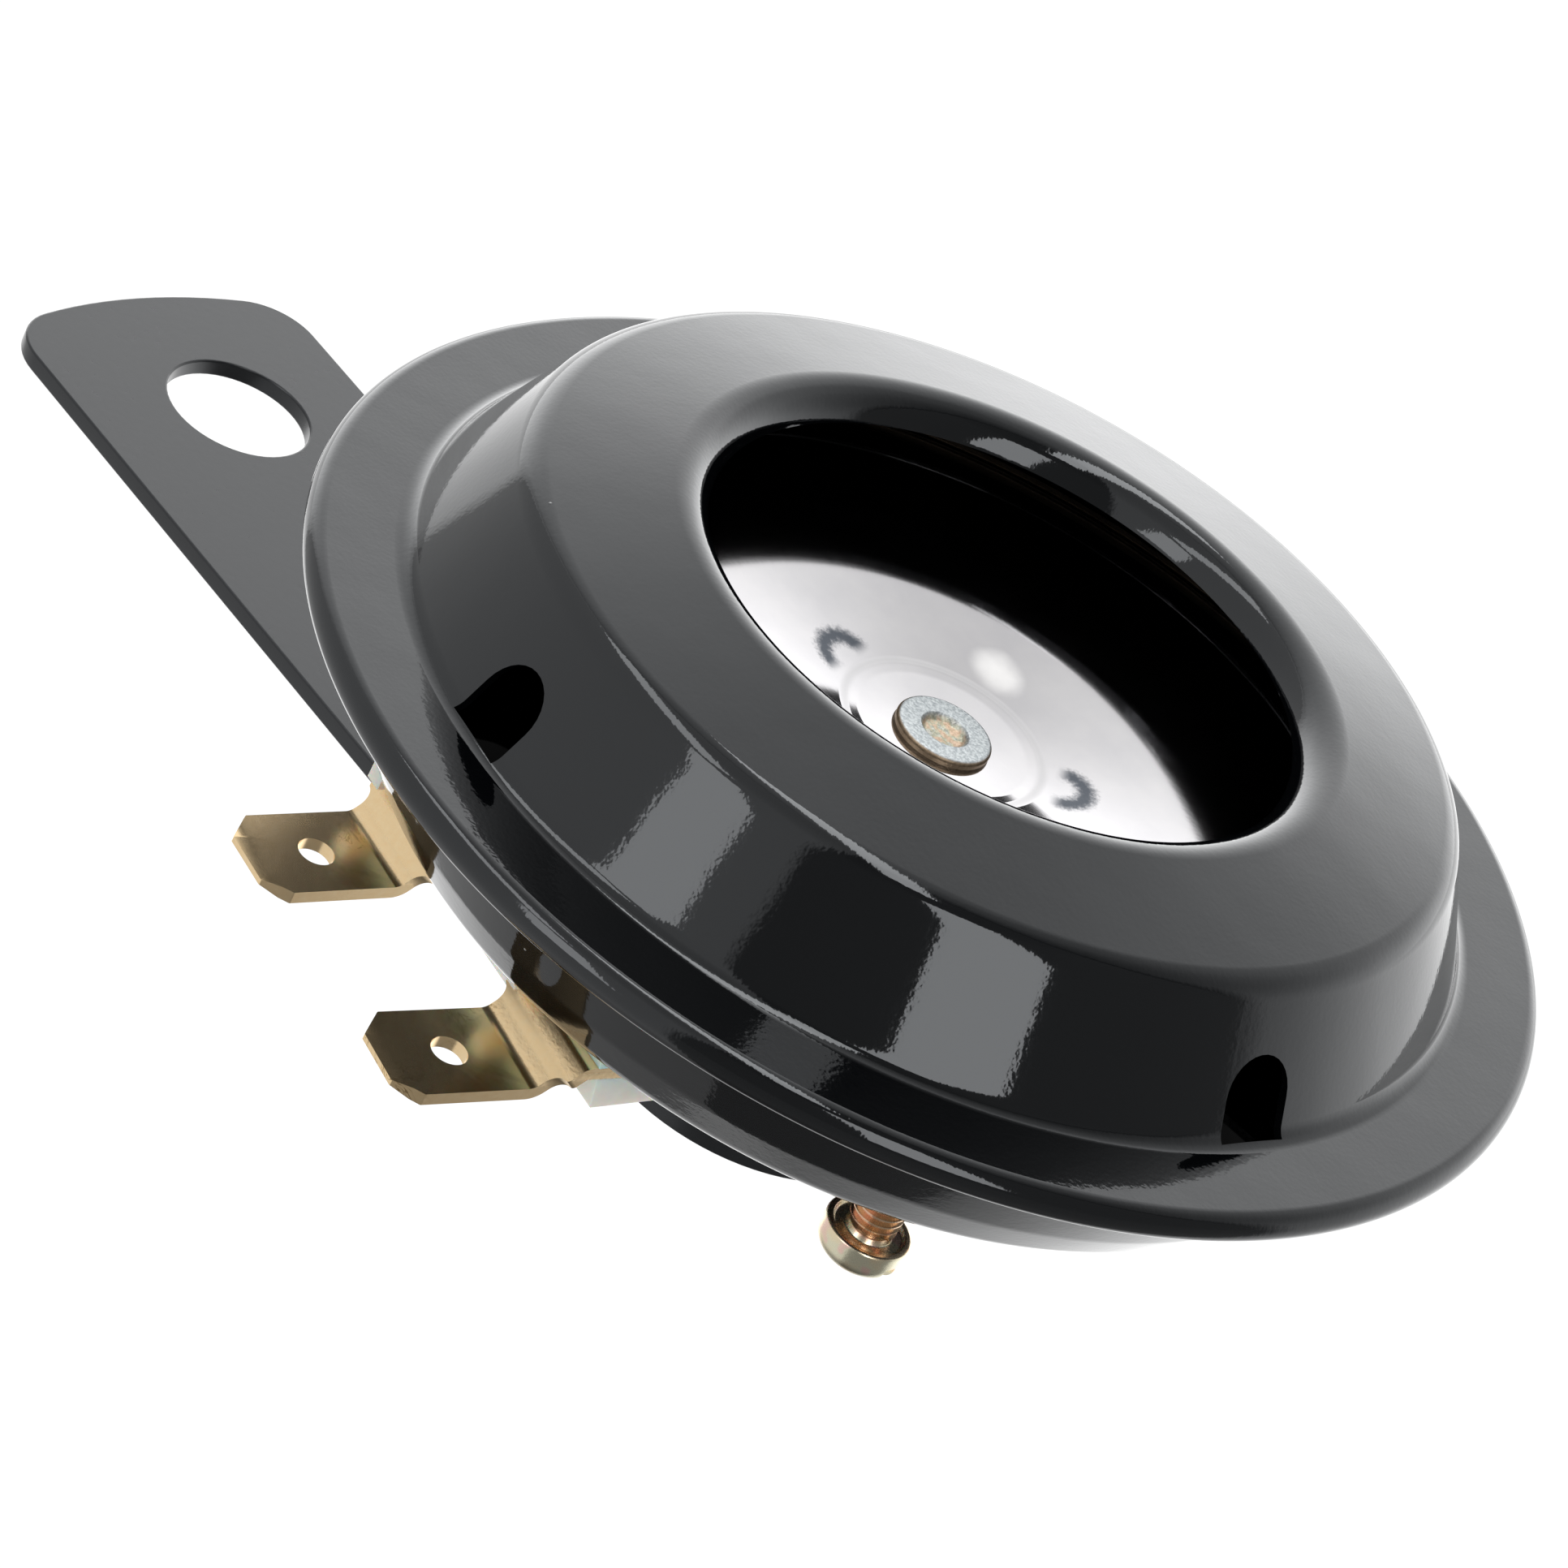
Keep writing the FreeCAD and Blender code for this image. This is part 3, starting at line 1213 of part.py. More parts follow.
def write_parts():
    os.makedirs("parts", exist_ok=True)
    for body in BODIES:
        body.Shape.exportStep(os.path.join("parts", body.Label + ".step"))
        print("%-26s %10.2f mm3" % (body.Label, body.Shape.Volume))


build()
doc.recompute()
check_document()
write_parts()
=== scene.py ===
"""Looks of a car's disc horn: black case, bright diaphragm, brass terminals, screw and bracket.

Lengths are in metres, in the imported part's frame. MM turns millimetres into metres. Values named
here for the horn's pieces are in millimetres, and heights are measured from the clamp plane.
"""
import json
import math

import bmesh
import bpy
from mathutils import Matrix, Vector


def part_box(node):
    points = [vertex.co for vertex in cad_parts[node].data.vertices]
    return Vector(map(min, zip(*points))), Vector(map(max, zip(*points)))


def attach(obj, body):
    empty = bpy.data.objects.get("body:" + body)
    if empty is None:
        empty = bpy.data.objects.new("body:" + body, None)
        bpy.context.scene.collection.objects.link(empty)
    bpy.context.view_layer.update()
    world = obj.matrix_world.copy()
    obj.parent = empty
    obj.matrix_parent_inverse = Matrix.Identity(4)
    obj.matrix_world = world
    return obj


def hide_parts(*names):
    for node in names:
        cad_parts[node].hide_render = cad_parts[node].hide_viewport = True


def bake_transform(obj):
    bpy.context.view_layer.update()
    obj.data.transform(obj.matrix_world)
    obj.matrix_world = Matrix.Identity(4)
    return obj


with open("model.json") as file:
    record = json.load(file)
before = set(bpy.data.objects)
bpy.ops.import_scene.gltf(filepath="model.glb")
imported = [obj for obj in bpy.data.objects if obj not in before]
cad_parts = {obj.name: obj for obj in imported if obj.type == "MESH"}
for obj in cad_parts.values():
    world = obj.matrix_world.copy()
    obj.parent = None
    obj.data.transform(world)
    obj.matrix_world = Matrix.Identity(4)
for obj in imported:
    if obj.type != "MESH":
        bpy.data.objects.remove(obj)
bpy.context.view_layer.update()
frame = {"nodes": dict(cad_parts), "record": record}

MM = 0.001
NODES = frame["nodes"]


def middle(node):
    """Centre of a node's box in plan."""
    low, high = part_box(node)
    return (low.x + high.x) / 2, (low.y + high.y) / 2


# The horn's axis in the plane where cover and diaphragm are clamped, and the screw's axis there
HORN = Vector((*middle("armature"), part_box("gasket_front")[1].z))
SCREW = Vector((*middle("adjusting_screw"), HORN.z))
SCREW_TIP = (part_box("adjusting_screw")[1].z - HORN.z) / MM

# Camera of the photograph
CAMERA_PLACE = Vector((0.18978, -0.20249, 0.16810))
CAMERA_RIGHT = Vector((0.57722, 0.70522, 0.41168))
CAMERA_UP = Vector((-0.66464, 0.11286, 0.73859))
CAMERA_BACK = Vector((0.47441, -0.69995, 0.53386))
CAMERA_LENS = 111.815
CAMERA_SENSOR = 36
CAMERA_NEAR, CAMERA_FAR = 1 * MM, 100

# Studio: how bright the surroundings are beside the white of the background
LEVEL = 0.7
LAMP_DISTANCE = 1.2
FLOOR_Z = -0.12
FLOOR_SIDE = 8.0
FLOOR_COLOUR = 0.8
# The camera sees this share of the floor as a light of its own, this bright
FLOOR_WHITE, FLOOR_LIGHT = 0.9, 1.1
FLOOR_DIMMEST, FLOOR_BRIGHTEST = 0.32, 2.4
# Mirrored floor near the horn's axis is down to this share of its light, between these distances
SHADOW_SHARE = 0.35
SHADOW_FROM, SHADOW_TO = 0.02, 0.15

# Brightness of the surroundings beside white, by azimuth and then by elevation, in degrees
BRIGHT_BY_AZIMUTH = (
    (-180, 1.08), (-71, 1.0), (-69, 0.24), (28, 0.3), (35, 1.2), (45, 1.5), (55, 1.9), (65, 2.3),
    (75, 2.8), (95, 3.2), (105, 4.2), (130, 4.6), (145, 4.6), (155, 4.3), (165, 4.0), (175, 3.1),
    (180, 1.6),
)
BRIGHTEST = 5.0
# The share left at each elevation: behind the horn, between two azimuths, and everywhere else
BACK_FROM, BACK_TO = 28, 179
BACK_BY_ELEVATION = (
    (0, 0.98), (12, 0.9), (17, 0.8), (22, 0.7), (27, 0.61), (32, 0.53), (37, 0.46), (42, 0.41),
    (52, 0.32), (60, 0.24), (72, 0.21), (90, 0.18),
)
LEFT_BY_ELEVATION = ((0, 1.0), (58, 0.95), (66, 0.82), (90, 0.6))

# Upright lamps: name, azimuth and width, lowest and highest elevation, lean, radiance beside white
UPRIGHT_LAMPS = (
    ("right_softbox", -26, 23, 12, 60, 0, 4.1),
    ("front_softbox", -95.5, 17, 11, 49, 14, 3.2),
)
# Leaning lamps: name, azimuth, elevation, direction of the side, its fall, width, height, radiance
LEANING_LAMPS = (
    ("front_softbox_top", -140, 60, -50, 8, 38, 8.5, 3.5),
    ("overhead_strip", 124, 80.8, 228.5, 0, 7.3, 48, 5.3),
)

# Shading and edges, in degrees
SMOOTH_TO = 35
TERMINAL_SMOOTH_TO = 14
SHARP_FROM = 40
BLADE_SHARP_FROM = 60
FLAT_WITHIN = 0.2
CORNER_STEP = 4
# Vertices closer than this are one
MERGE = 1e-4 * MM

# Outlines turned about an axis: radius, height and rounding of each corner
DIAPHRAGM_TOP = (
    (2.0, 0.6, 0), (5.4, 0.81, 3.0), (6.1, 0.92, 1.5), (6.6, 0.96, 2.0), (24.0, 4.15, 6.2),
    (33.6, -0.1, 1.5), (38.0, -0.1, 0),
)
COVER_OUTSIDE = (
    (18.3, 8.0, 0), (18.3, 11.1, 2.4), (29.09, 9.09, 2.2), (33.24, 1.1, 1.3), (38.99, 1.1, 1.0),
    (38.99, -0.9, 0.98), (36.6, -0.9, 0),
)
CASE_OUTSIDE = (
    (37.9, -0.42, 0), (36.4, -0.42, 0.3), (36.3, -1.3, 0.8), (33.5, -6.3, 7.0),
    (30.75, -10.3, 3.6), (16.5, -10.3, 1.0), (16.5, -17.0, 2.0), (3.1, -17.0, 0),
)
COLLAR = ((1.55, -10.0, 0), (2.6, -10.0, 0), (2.6, -12.5, 0.2), (1.55, -12.5, 0.2))
CENTRE_RIVET = (
    (0, 0.72, 0), (1.2, 0.76, 0.3), (1.55, 1.16, 0.15), (3.06, 1.18, 0.28), (3.0, 0.62, 0),
    (1.98, 0.6, 0), (1.98, -4.2, 0), (0, -4.2, 0),
)
DIAPHRAGM_GAUGE, COVER_GAUGE, CASE_GAUGE = 0.2, 0.55, 0.5
DIAPHRAGM_STEPS, COVER_STEPS, CASE_STEPS = 256, 384, 256
COLLAR_STEPS, RIVET_STEPS, SCREW_STEPS = 64, 128, 96

# The lip inside the mouth ends at a height, and all of it lies within a radius
LIP_WITHIN, LIP_END = 20, 8.72

# Drain slots: azimuths, radii where they start and how far they reach, width, lowest, highest
DRAIN_AZIMUTHS = (82, 172, 262, 352)
DRAIN_FROM, DRAIN_REACH = 27, 6.35
DRAIN_WIDTH, DRAIN_LOW, DRAIN_HIGH = 4.5, -2.2, 5.5
DRAIN_STEP = 12

# Terminals: word in the name, side of the block and yaw in degrees
TERMINALS = (("left", -1, -1.4), ("right", 1, -3.6))
# Their rivets lie at an azimuth and a distance from the horn's axis, and to either side of it
TERMINAL_AZIMUTH, TERMINAL_DISTANCE, TERMINAL_ASIDE = 264.4, 22.5, 8.1
# Flat blank, measured along from the rivet: root, shoulder, tip, half widths, cut corner
TERMINAL_FRONT, TERMINAL_GAUGE, TERMINAL_DROP = -11.53, 0.8, 2.2
BLANK_ROOT, SHOULDER_FROM, SHOULDER_TO, BLANK_TIP = -2.8, 5.35, 5.55, 15.0
ROOT_HALF, BLADE_HALF, CUT_CORNER = 4.0, 3.15, 1.4
RISER_FROM, RISER_TO, BEND_RADIUS = 4.45, 6.55, 0.8
LATCH_FROM_TIP, LATCH_RADIUS, RIVET_HOLE = 4.5, 1.1, 1.3
HOLE_CORNERS = 40
COIN_LENGTH, COIN_SHARE = 0.9, 0.55
BLADE_EDGE = 0.07
# Heights of the bends, which are crinkled
BEND_FRONT = -11.8
BEND_BACK = -13.3

# Adjusting screw: head, thread, and half the height of the thread's ridge at its root and crest
SCREW_HEAD_RADIUS, SCREW_HEAD_TOP, SCREW_HEAD_LOW = 2.6, -15.6, -17.7
SCREW_THREAD, SCREW_PITCH = 1.5, 0.5
SCREW_CORE = SCREW_THREAD - 0.27
RIDGE_ROOT, RIDGE_CREST, RIDGE_SUNK = 0.22, 0.05, 0.1
THREAD_FROM_HEAD, THREAD_FROM_TIP = 0.35, 0.3
THREAD_STEPS = 48
# Block that cuts the driver slot: length, width, height, and its centre below the head
SLOT_CUTTER = (8, 0.8, 4.4)
SLOT_BELOW = 1

# CAD nodes that get rounded edges: name, material slot and the width of the rounding
EDGED = (
    ("mounting_bracket", "painted_bracket", 0.16),
    ("terminal_block", "block_nylon", 0.2),
    ("core_nut", "zinc_steel", 0.15),
    ("bracket_nut", "zinc_steel", 0.15),
    ("spring_washer", "spring_steel_dark", 0.12),
    ("terminal_rivet_left", "rivet_brass", 0.12),
    ("terminal_rivet_right", "rivet_brass", 0.12),
)

# Paint: its refraction and the bluish tint of what it mirrors
CASE_IOR, BRACKET_IOR = 1.62, 1.55
PAINT_TINT = (0.94, 0.97, 1.0, 1)
# Dust specks: cells to a metre, and the share of cells without one
SPECK_CELLS, SPECK_FREE = 150.0, 0.78
# Painted light on the diaphragm: arches of painted dark reflection (azimuth, distance from the
# axis), their radius, a painted highlight's place, the radius and reach of a ring of painted shade
# at the boss's edge, and the painted shade under the cover
REFLECTION_ARCHES = ((-161, 7.2), (38, 7.4))
REFLECTION_ARCH_RADIUS = 1.6
HIGHLIGHT_X, HIGHLIGHT_Y = -3.7, 7.6
SHADE_RING_RADIUS, SHADE_RING_REACH = 6.3, 0.5
SHADE_FROM, SHADE_TO = 24.6, 25.4
# Rivet's head: edge of the dimple and of the plated ring
DIMPLE_FROM, DIMPLE_TO = 1.5, 1.75
PLATED_FROM, PLATED_TO = 2.85, 2.98
TOOL_RINGS = 40
WIRE_TURNS = 18


class Value:
    """An output of a node, so that shader maths reads as plain sums."""

    def __init__(self, nodes, socket):
        self.nodes = nodes
        self.socket = socket

    def __add__(self, other):
        return self.nodes.maths("ADD", self, other)

    def __radd__(self, other):
        return self.nodes.maths("ADD", other, self)

    def __sub__(self, other):
        return self.nodes.maths("SUBTRACT", self, other)

    def __rsub__(self, other):
        return self.nodes.maths("SUBTRACT", other, self)

    def __mul__(self, other):
        return self.nodes.maths("MULTIPLY", self, other)

    def __rmul__(self, other):
        return self.nodes.maths("MULTIPLY", other, self)

    def __truediv__(self, other):
        return self.nodes.maths("DIVIDE", self, other)

    def __gt__(self, other):
        return self.nodes.maths("GREATER_THAN", self, other)

    def __lt__(self, other):
        return self.nodes.maths("LESS_THAN", self, other)


class Nodes:
    """The nodes of one material or of the world."""

    def __init__(self, owner):
        owner.use_nodes = True
        self.tree = owner.node_tree
        self.tree.nodes.clear()

    def add(self, kind, output=0, settings=None, **inputs):
        """One node: its settings first, a ramp's stops among them, then its sockets.

        A socket is given by its name, or by its number as i0, i1 and so on. The last node of all
        has no output.
        """
        node = self.tree.nodes.new(kind)
        for name, value in (settings or {}).items():
            if name == "stops":
                set_stops(node.color_ramp, value)
            else:
                setattr(node, name, value)
        for name, value in inputs.items():
            socket = node.inputs[int(name[1:]) if name[1:].isdigit() else name.replace("_", " ")]
            if isinstance(value, Value):
                self.tree.links.new(value.socket, socket)
            else:
                socket.default_value = value
        return Value(self, node.outputs[output]) if node.outputs else None

    def maths(self, operation, *values):
        inputs = {f"i{place}": value for place, value in enumerate(values)}
        return self.add("ShaderNodeMath", settings={"operation": operation}, **inputs)

    def smooth(self, value, low, high):
        """0 below low, 1 above high and a soft step between."""
        settings = {"interpolation_type": "SMOOTHSTEP"}
        ends = {"From_Min": low, "From_Max": high}
        return self.add("ShaderNodeMapRange", settings=settings, Value=value, **ends)

    def near(self, value, level, reach):
        """1 where a value is at a level, falling to 0 where it is reach away."""
        return 1 - self.smooth(self.maths("ABSOLUTE", value - level), 0.0, reach)

    def mix(self, factor, first, second):
        """A colour between two colours, each a link or its red, green and blue."""
        first, second = (
            colour if isinstance(colour, Value) else (*colour, 1) for colour in (first, second)
        )
        settings = {"data_type": "RGBA"}
        return self.add("ShaderNodeMix", 2, settings, i0=factor, i6=first, i7=second)

    def curve(self, value, stops, top=1.0):
        """Straight lines between (place, height) stops, places from 0 to 1 and heights to top."""
        settings = {"stops": [(place, height / top) for place, height in stops]}
        return self.add("ShaderNodeValToRGB", settings=settings, Fac=value) * top

    def brightness(self, x, y):
        """The room's brightness in the direction of x and y, and its azimuth from 0 to 1."""
        around = self.maths("ARCTAN2", y, x) / (2 * math.pi) + 0.5
        stops = [((azimuth + 180) / 360, height) for azimuth, height in BRIGHT_BY_AZIMUTH]
        return self.curve(around, stops, BRIGHTEST), around

    def parts(self, vector):
        """X, Y and Z of a vector."""
        node = self.add("ShaderNodeSeparateXYZ", Vector=vector).socket.node
        return [Value(self, output) for output in node.outputs]


class Finish(Nodes):
    """A material on the piece's own coordinates."""

    def __init__(self, name):
        self.material = bpy.data.materials.new(name)
        super().__init__(self.material)
        self.place = self.add("ShaderNodeTexCoord", "Object")

    def from_axis(self):
        """Distance from the horn's axis, height above the clamp plane, and x and y, in mm."""
        x, y, z = self.parts(self.place)
        x = (x - HORN.x) / MM
        y = (y - HORN.y) / MM
        return self.maths("SQRT", x * x + y * y), (z - HORN.z) / MM, x, y

    def noise(self, scale, detail=2.0, rough=0.5, place=None, **others):
        inputs = {"Vector": place or self.place, "Scale": scale, "Detail": detail}
        return self.add("ShaderNodeTexNoise", "Fac", Roughness=rough, **inputs, **others)

    def cells(self, output):
        """The nearest dust cell's distance or its random colour."""
        return self.add("ShaderNodeTexVoronoi", output, Vector=self.place, Scale=SPECK_CELLS)

    def stretched(self, x, y, z):
        """The place with each direction scaled, for grain that runs one way."""
        return self.add("ShaderNodeMapping", Vector=self.place, Scale=(x, y, z))

    def bump(self, height, distance, **under):
        """Relief, on top of another if its Normal is given."""
        return self.add("ShaderNodeBump", "Normal", Height=height, Distance=distance, **under)

    def surface(self, **inputs):
        return self.done(self.add("ShaderNodeBsdfPrincipled", "BSDF", **inputs))

    def done(self, shader):
        self.add("ShaderNodeOutputMaterial", Surface=shader)
        return self.material


def grey(value):
    return (value, value, value, 1)


def set_stops(ramp, stops):
    """Gives a ramp its grey (place, height) stops, whose first and last lie at its ends."""
    ramp.elements[0].color = grey(stops[0][1])
    ramp.elements[1].color = grey(stops[-1][1])
    for place, height in stops[1:-1]:
        ramp.elements.new(place).color = grey(height)


def direction(azimuth, elevation):
    """Unit vector at an azimuth from +X and an elevation, both in degrees."""
    turn, rise = math.radians(azimuth), math.radians(elevation)
    return Vector((
        math.cos(turn) * math.cos(rise), math.sin(turn) * math.cos(rise), math.sin(rise)))


def linked(name, data):
    thing = bpy.data.objects.new(name, data)
    bpy.context.scene.collection.objects.link(thing)
    return thing


def camera():
    data = bpy.data.cameras.new("photo_camera")
    data.lens = CAMERA_LENS
    data.sensor_width = CAMERA_SENSOR
    data.clip_start = CAMERA_NEAR
    data.clip_end = CAMERA_FAR
    turn = Matrix((CAMERA_RIGHT, CAMERA_UP, CAMERA_BACK)).transposed().to_4x4()
    viewer = linked("photo_camera", data)
    viewer.matrix_world = Matrix.Translation(CAMERA_PLACE) @ turn
    bpy.context.scene.camera = viewer


def panel(name, place, side, away, wide, high, radiance):
    """A rectangular lamp of one radiance that faces the horn; place is measured from the horn."""
    data = bpy.data.lights.new(name, "AREA")
    data.shape = "RECTANGLE"
    data.size, data.size_y = wide, high
    data.energy = radiance * LEVEL * math.pi * wide * high
    side = (side - away * side.dot(away)).normalized()
    turn = Matrix((side, away.cross(side), away)).transposed().to_4x4()
    lamp = linked(name, data)
    lamp.matrix_world = Matrix.Translation(HORN + place) @ turn
    lamp.visible_camera = False


def spread(degrees):
    """Length of a lamp that covers that angle from the horn."""
    return 2 * LAMP_DISTANCE * math.tan(math.radians(degrees) / 2)


def upright_lamp(name, azimuth, wide, lowest, highest, lean, radiance):
    foot, top = (LAMP_DISTANCE * math.tan(math.radians(rise)) for rise in (lowest, highest))
    away = direction(azimuth, 0)
    place = away * LAMP_DISTANCE + Vector((0, 0, (foot + top) / 2))
    panel(name, place, direction(azimuth + 90, lean), away, spread(wide), top - foot, radiance)


def leaning_lamp(name, azimuth, elevation, side, fall, wide, high, radiance):
    away = direction(azimuth, elevation)
    along = direction(side, -fall)
    panel(name, away * LAMP_DISTANCE, along, away, spread(wide), spread(high), radiance)


def studio_world():
    """White for the camera; the horn sees a room that is dim in front and bright behind."""
    world = bpy.data.worlds.new("studio")
    bpy.context.scene.world = world
    nodes = Nodes(world)
    x, y, z = nodes.parts(nodes.add("ShaderNodeTexCoord", "Generated"))
    light, around = nodes.brightness(x, y)
    rise = nodes.maths("ARCSINE", z) / (math.pi / 2)
    back, left = (
        nodes.curve(rise, [(elevation / 90, height) for elevation, height in stops])
        for stops in (BACK_BY_ELEVATION, LEFT_BY_ELEVATION)
    )
    behind = (around > (BACK_FROM + 180) / 360) * (around < (BACK_TO + 180) / 360)
    light = light * (behind * back + (1 - behind) * left)
    seen = nodes.add("ShaderNodeLightPath", "Is Camera Ray")
    light = light * LEVEL * (1 - seen) + seen
    background = nodes.add("ShaderNodeBackground", Color=light)
    nodes.add("ShaderNodeOutputWorld", Surface=background)


def floor():
    """Pale floor, white to the camera, that goes on with the room where it is mirrored."""
    mesh = bmesh.new()
    bmesh.ops.create_grid(mesh, x_segments=1, y_segments=1, size=FLOOR_SIDE / 2)
    bmesh.ops.translate(mesh, vec=(0, 0, FLOOR_Z), verts=mesh.verts)
    data = bpy.data.meshes.new("floor")
    mesh.to_mesh(data)
    mesh.free()
    finish = Finish("pale_floor")
    x, y, _ = finish.parts(finish.place)
    x, y = x - HORN.x, y - HORN.y
    room, _ = finish.brightness(x, y)
    room = finish.maths("MINIMUM", finish.maths("MAXIMUM", room, FLOOR_DIMMEST), FLOOR_BRIGHTEST)
    far = finish.maths("POWER", x * x + y * y, 0.5)
    shaded = SHADOW_SHARE + finish.smooth(far, SHADOW_FROM, SHADOW_TO) * (1 - SHADOW_SHARE)
    seen = finish.add("ShaderNodeLightPath", "Is Camera Ray")
    mirrored = finish.add("ShaderNodeLightPath", "Is Glossy Ray")
    light = seen * FLOOR_LIGHT + mirrored * room * shaded * LEVEL
    pale = finish.add("ShaderNodeBsdfDiffuse", Color=grey(FLOOR_COLOUR))
    white = finish.add("ShaderNodeEmission", Color=light)
    share = seen * FLOOR_WHITE + mirrored
    both = finish.add("ShaderNodeMixShader", i0=share, i1=pale, i2=white)
    data.materials.append(finish.done(both))
    linked("floor", data)


def piece_of(mesh, name, slot, body="housing", nodes=(), angle=SMOOTH_TO):
    """Makes a piece of a mesh: it rides on a body and stands for the CAD nodes."""
    bmesh.ops.recalc_face_normals(mesh, faces=mesh.faces)
    data = bpy.data.meshes.new(name)
    mesh.to_mesh(data)
    mesh.free()
    data.shade_smooth()
    data.set_sharp_from_angle(angle=math.radians(angle))
    data.materials.append(FINISH[slot])
    piece = linked(name, data)
    even_normals(piece)
    if body:
        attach(piece, body)
    if nodes:
        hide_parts(*nodes)
    return piece


def even_normals(piece):
    """Keeps the large faces flat beside their small rounded edges."""
    weights = piece.modifiers.new("even_normals", "WEIGHTED_NORMAL")
    weights.keep_sharp = True
    weights.weight = 100


def round_edges(mesh, angle, width):
    """Rounds off the edges that turn by more than an angle in degrees."""
    sharp = [
        edge for edge in mesh.edges
        if edge.is_manifold and edge.calc_face_angle() > math.radians(angle)
    ]
    bmesh.ops.bevel(
        mesh, geom=sharp, offset=width, offset_type="OFFSET", segments=2, profile=0.5,
        affect="EDGES", clamp_overlap=True, material=-1)


def edged(node, slot, width):
    """A CAD node's own shape with its sharp edges rounded off."""
    mesh = bmesh.new()
    mesh.from_mesh(NODES[node].data)
    bmesh.ops.remove_doubles(mesh, verts=mesh.verts, dist=MERGE)
    flat = math.radians(FLAT_WITHIN)
    bmesh.ops.dissolve_limit(mesh, angle_limit=flat, verts=mesh.verts, edges=mesh.edges)
    round_edges(mesh, SHARP_FROM, width * MM)
    return piece_of(mesh, "dressed_" + node, slot, nodes=[node])


def rounded(corners):
    """Points of an outline whose corners (x, z, radius) are rounded."""
    points = []
    count = len(corners)
    for place, (x, z, radius) in enumerate(corners):
        here = Vector((x, z))
        if not radius:
            points.append(here)
            continue
        before = (Vector(corners[place - 1][:2]) - here).normalized()
        after = (Vector(corners[(place + 1) % count][:2]) - here).normalized()
        half = before.angle(after) / 2
        inwards = (before + after).normalized()
        centre = here + inwards * (radius / math.sin(half))
        first = here + before * (radius / math.tan(half)) - centre
        last = here + after * (radius / math.tan(half)) - centre
        turn = first.angle_signed(last)
        steps = max(2, round(abs(math.degrees(turn)) / CORNER_STEP))
        points += [
            centre + Matrix.Rotation(-turn * step / steps, 2) @ first for step in range(steps + 1)
        ]
    return points


def closed_loop(mesh, places):
    """Adds vertices at the places and the edges that join them in a ring."""
    ring = [mesh.verts.new(place) for place in places]
    for first, second in zip(ring, ring[1:] + ring[:1]):
        mesh.edges.new((first, second))


def spun(section, centre, steps):
    """A mesh of a closed section (radius, height in mm) turned about an upright axis."""
    mesh = bmesh.new()
    closed_loop(mesh, [(centre.x + x * MM, centre.y, centre.z + z * MM) for x, z in section])
    bmesh.ops.spin(
        mesh, geom=mesh.verts[:] + mesh.edges[:], cent=centre, axis=(0, 0, 1), dvec=(0, 0, 0),
        angle=2 * math.pi, steps=steps, use_merge=True, use_duplicate=False)
    bmesh.ops.remove_doubles(mesh, verts=mesh.verts, dist=MERGE)
    return mesh


def ways_along(points):
    """Unit direction of a line at each of its points."""
    ways = []
    for place in range(len(points)):
        before, after = points[max(place - 1, 0)], points[min(place + 1, len(points) - 1)]
        ways.append((after - before).normalized())
    return ways


def beside(points, gauge):
    """The line's points moved to the right of its course by the sheet's gauge."""
    return [
        point + Vector((way.y, -way.x)) * gauge for point, way in zip(points, ways_along(points))
    ]


def sheet(points, gauge):
    """Closed section of a sheet whose outer side runs through the points."""
    return points + beside(points, gauge)[::-1]


def drawn_out(mesh, faces, way):
    """Makes solids of flat faces by drawing them out."""
    made = bmesh.ops.extrude_face_region(mesh, geom=faces)
    moved = [item for item in made["geom"] if isinstance(item, bmesh.types.BMVert)]
    bmesh.ops.translate(mesh, vec=way, verts=moved)


def carve(piece, cutter):
    """Takes the cutter's space out of a piece's mesh."""
    data = bpy.data.meshes.new("cutter")
    cutter.to_mesh(data)
    cutter.free()
    tool = linked("cutter", data)
    boolean = piece.modifiers.new("carve", "BOOLEAN")
    boolean.operation, boolean.solver, boolean.object = "DIFFERENCE", "EXACT", tool
    shape = piece.evaluated_get(bpy.context.evaluated_depsgraph_get())
    carved = bpy.data.meshes.new_from_object(shape)
    piece.modifiers.clear()
    piece.data = carved
    carved.set_sharp_from_angle(angle=math.radians(SMOOTH_TO))
    even_normals(piece)
    bpy.data.objects.remove(tool)


def diaphragm():
    """Spring disc in two rings: the inner one rides on no body, the outer one is clamped."""
    top = rounded(DIAPHRAGM_TOP)
    crest = max(range(len(top)), key=lambda place: top[place].y)
    low = beside(top, DIAPHRAGM_GAUGE)
    inner = spun(top[:crest + 1] + low[crest::-1], HORN, DIAPHRAGM_STEPS)
    moving = piece_of(inner, "diaphragm_inner", "spring_steel", body=None, nodes=["diaphragm"])
    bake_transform(moving)
    outer = spun(top[crest:] + low[:crest - 1:-1], HORN, DIAPHRAGM_STEPS)
    piece_of(outer, "diaphragm_outer", "spring_steel")


def obround(width, low, high):
    """Outline of an upright slot with round ends, around x = 0."""
    radius = width / 2
    points = []
    for centre, start in ((high - radius, 0), (low + radius, 180)):
        for turn in range(0, 181, DRAIN_STEP):
            angle = math.radians(start + turn)
            points.append((radius * math.cos(angle), centre + radius * math.sin(angle)))
    return points


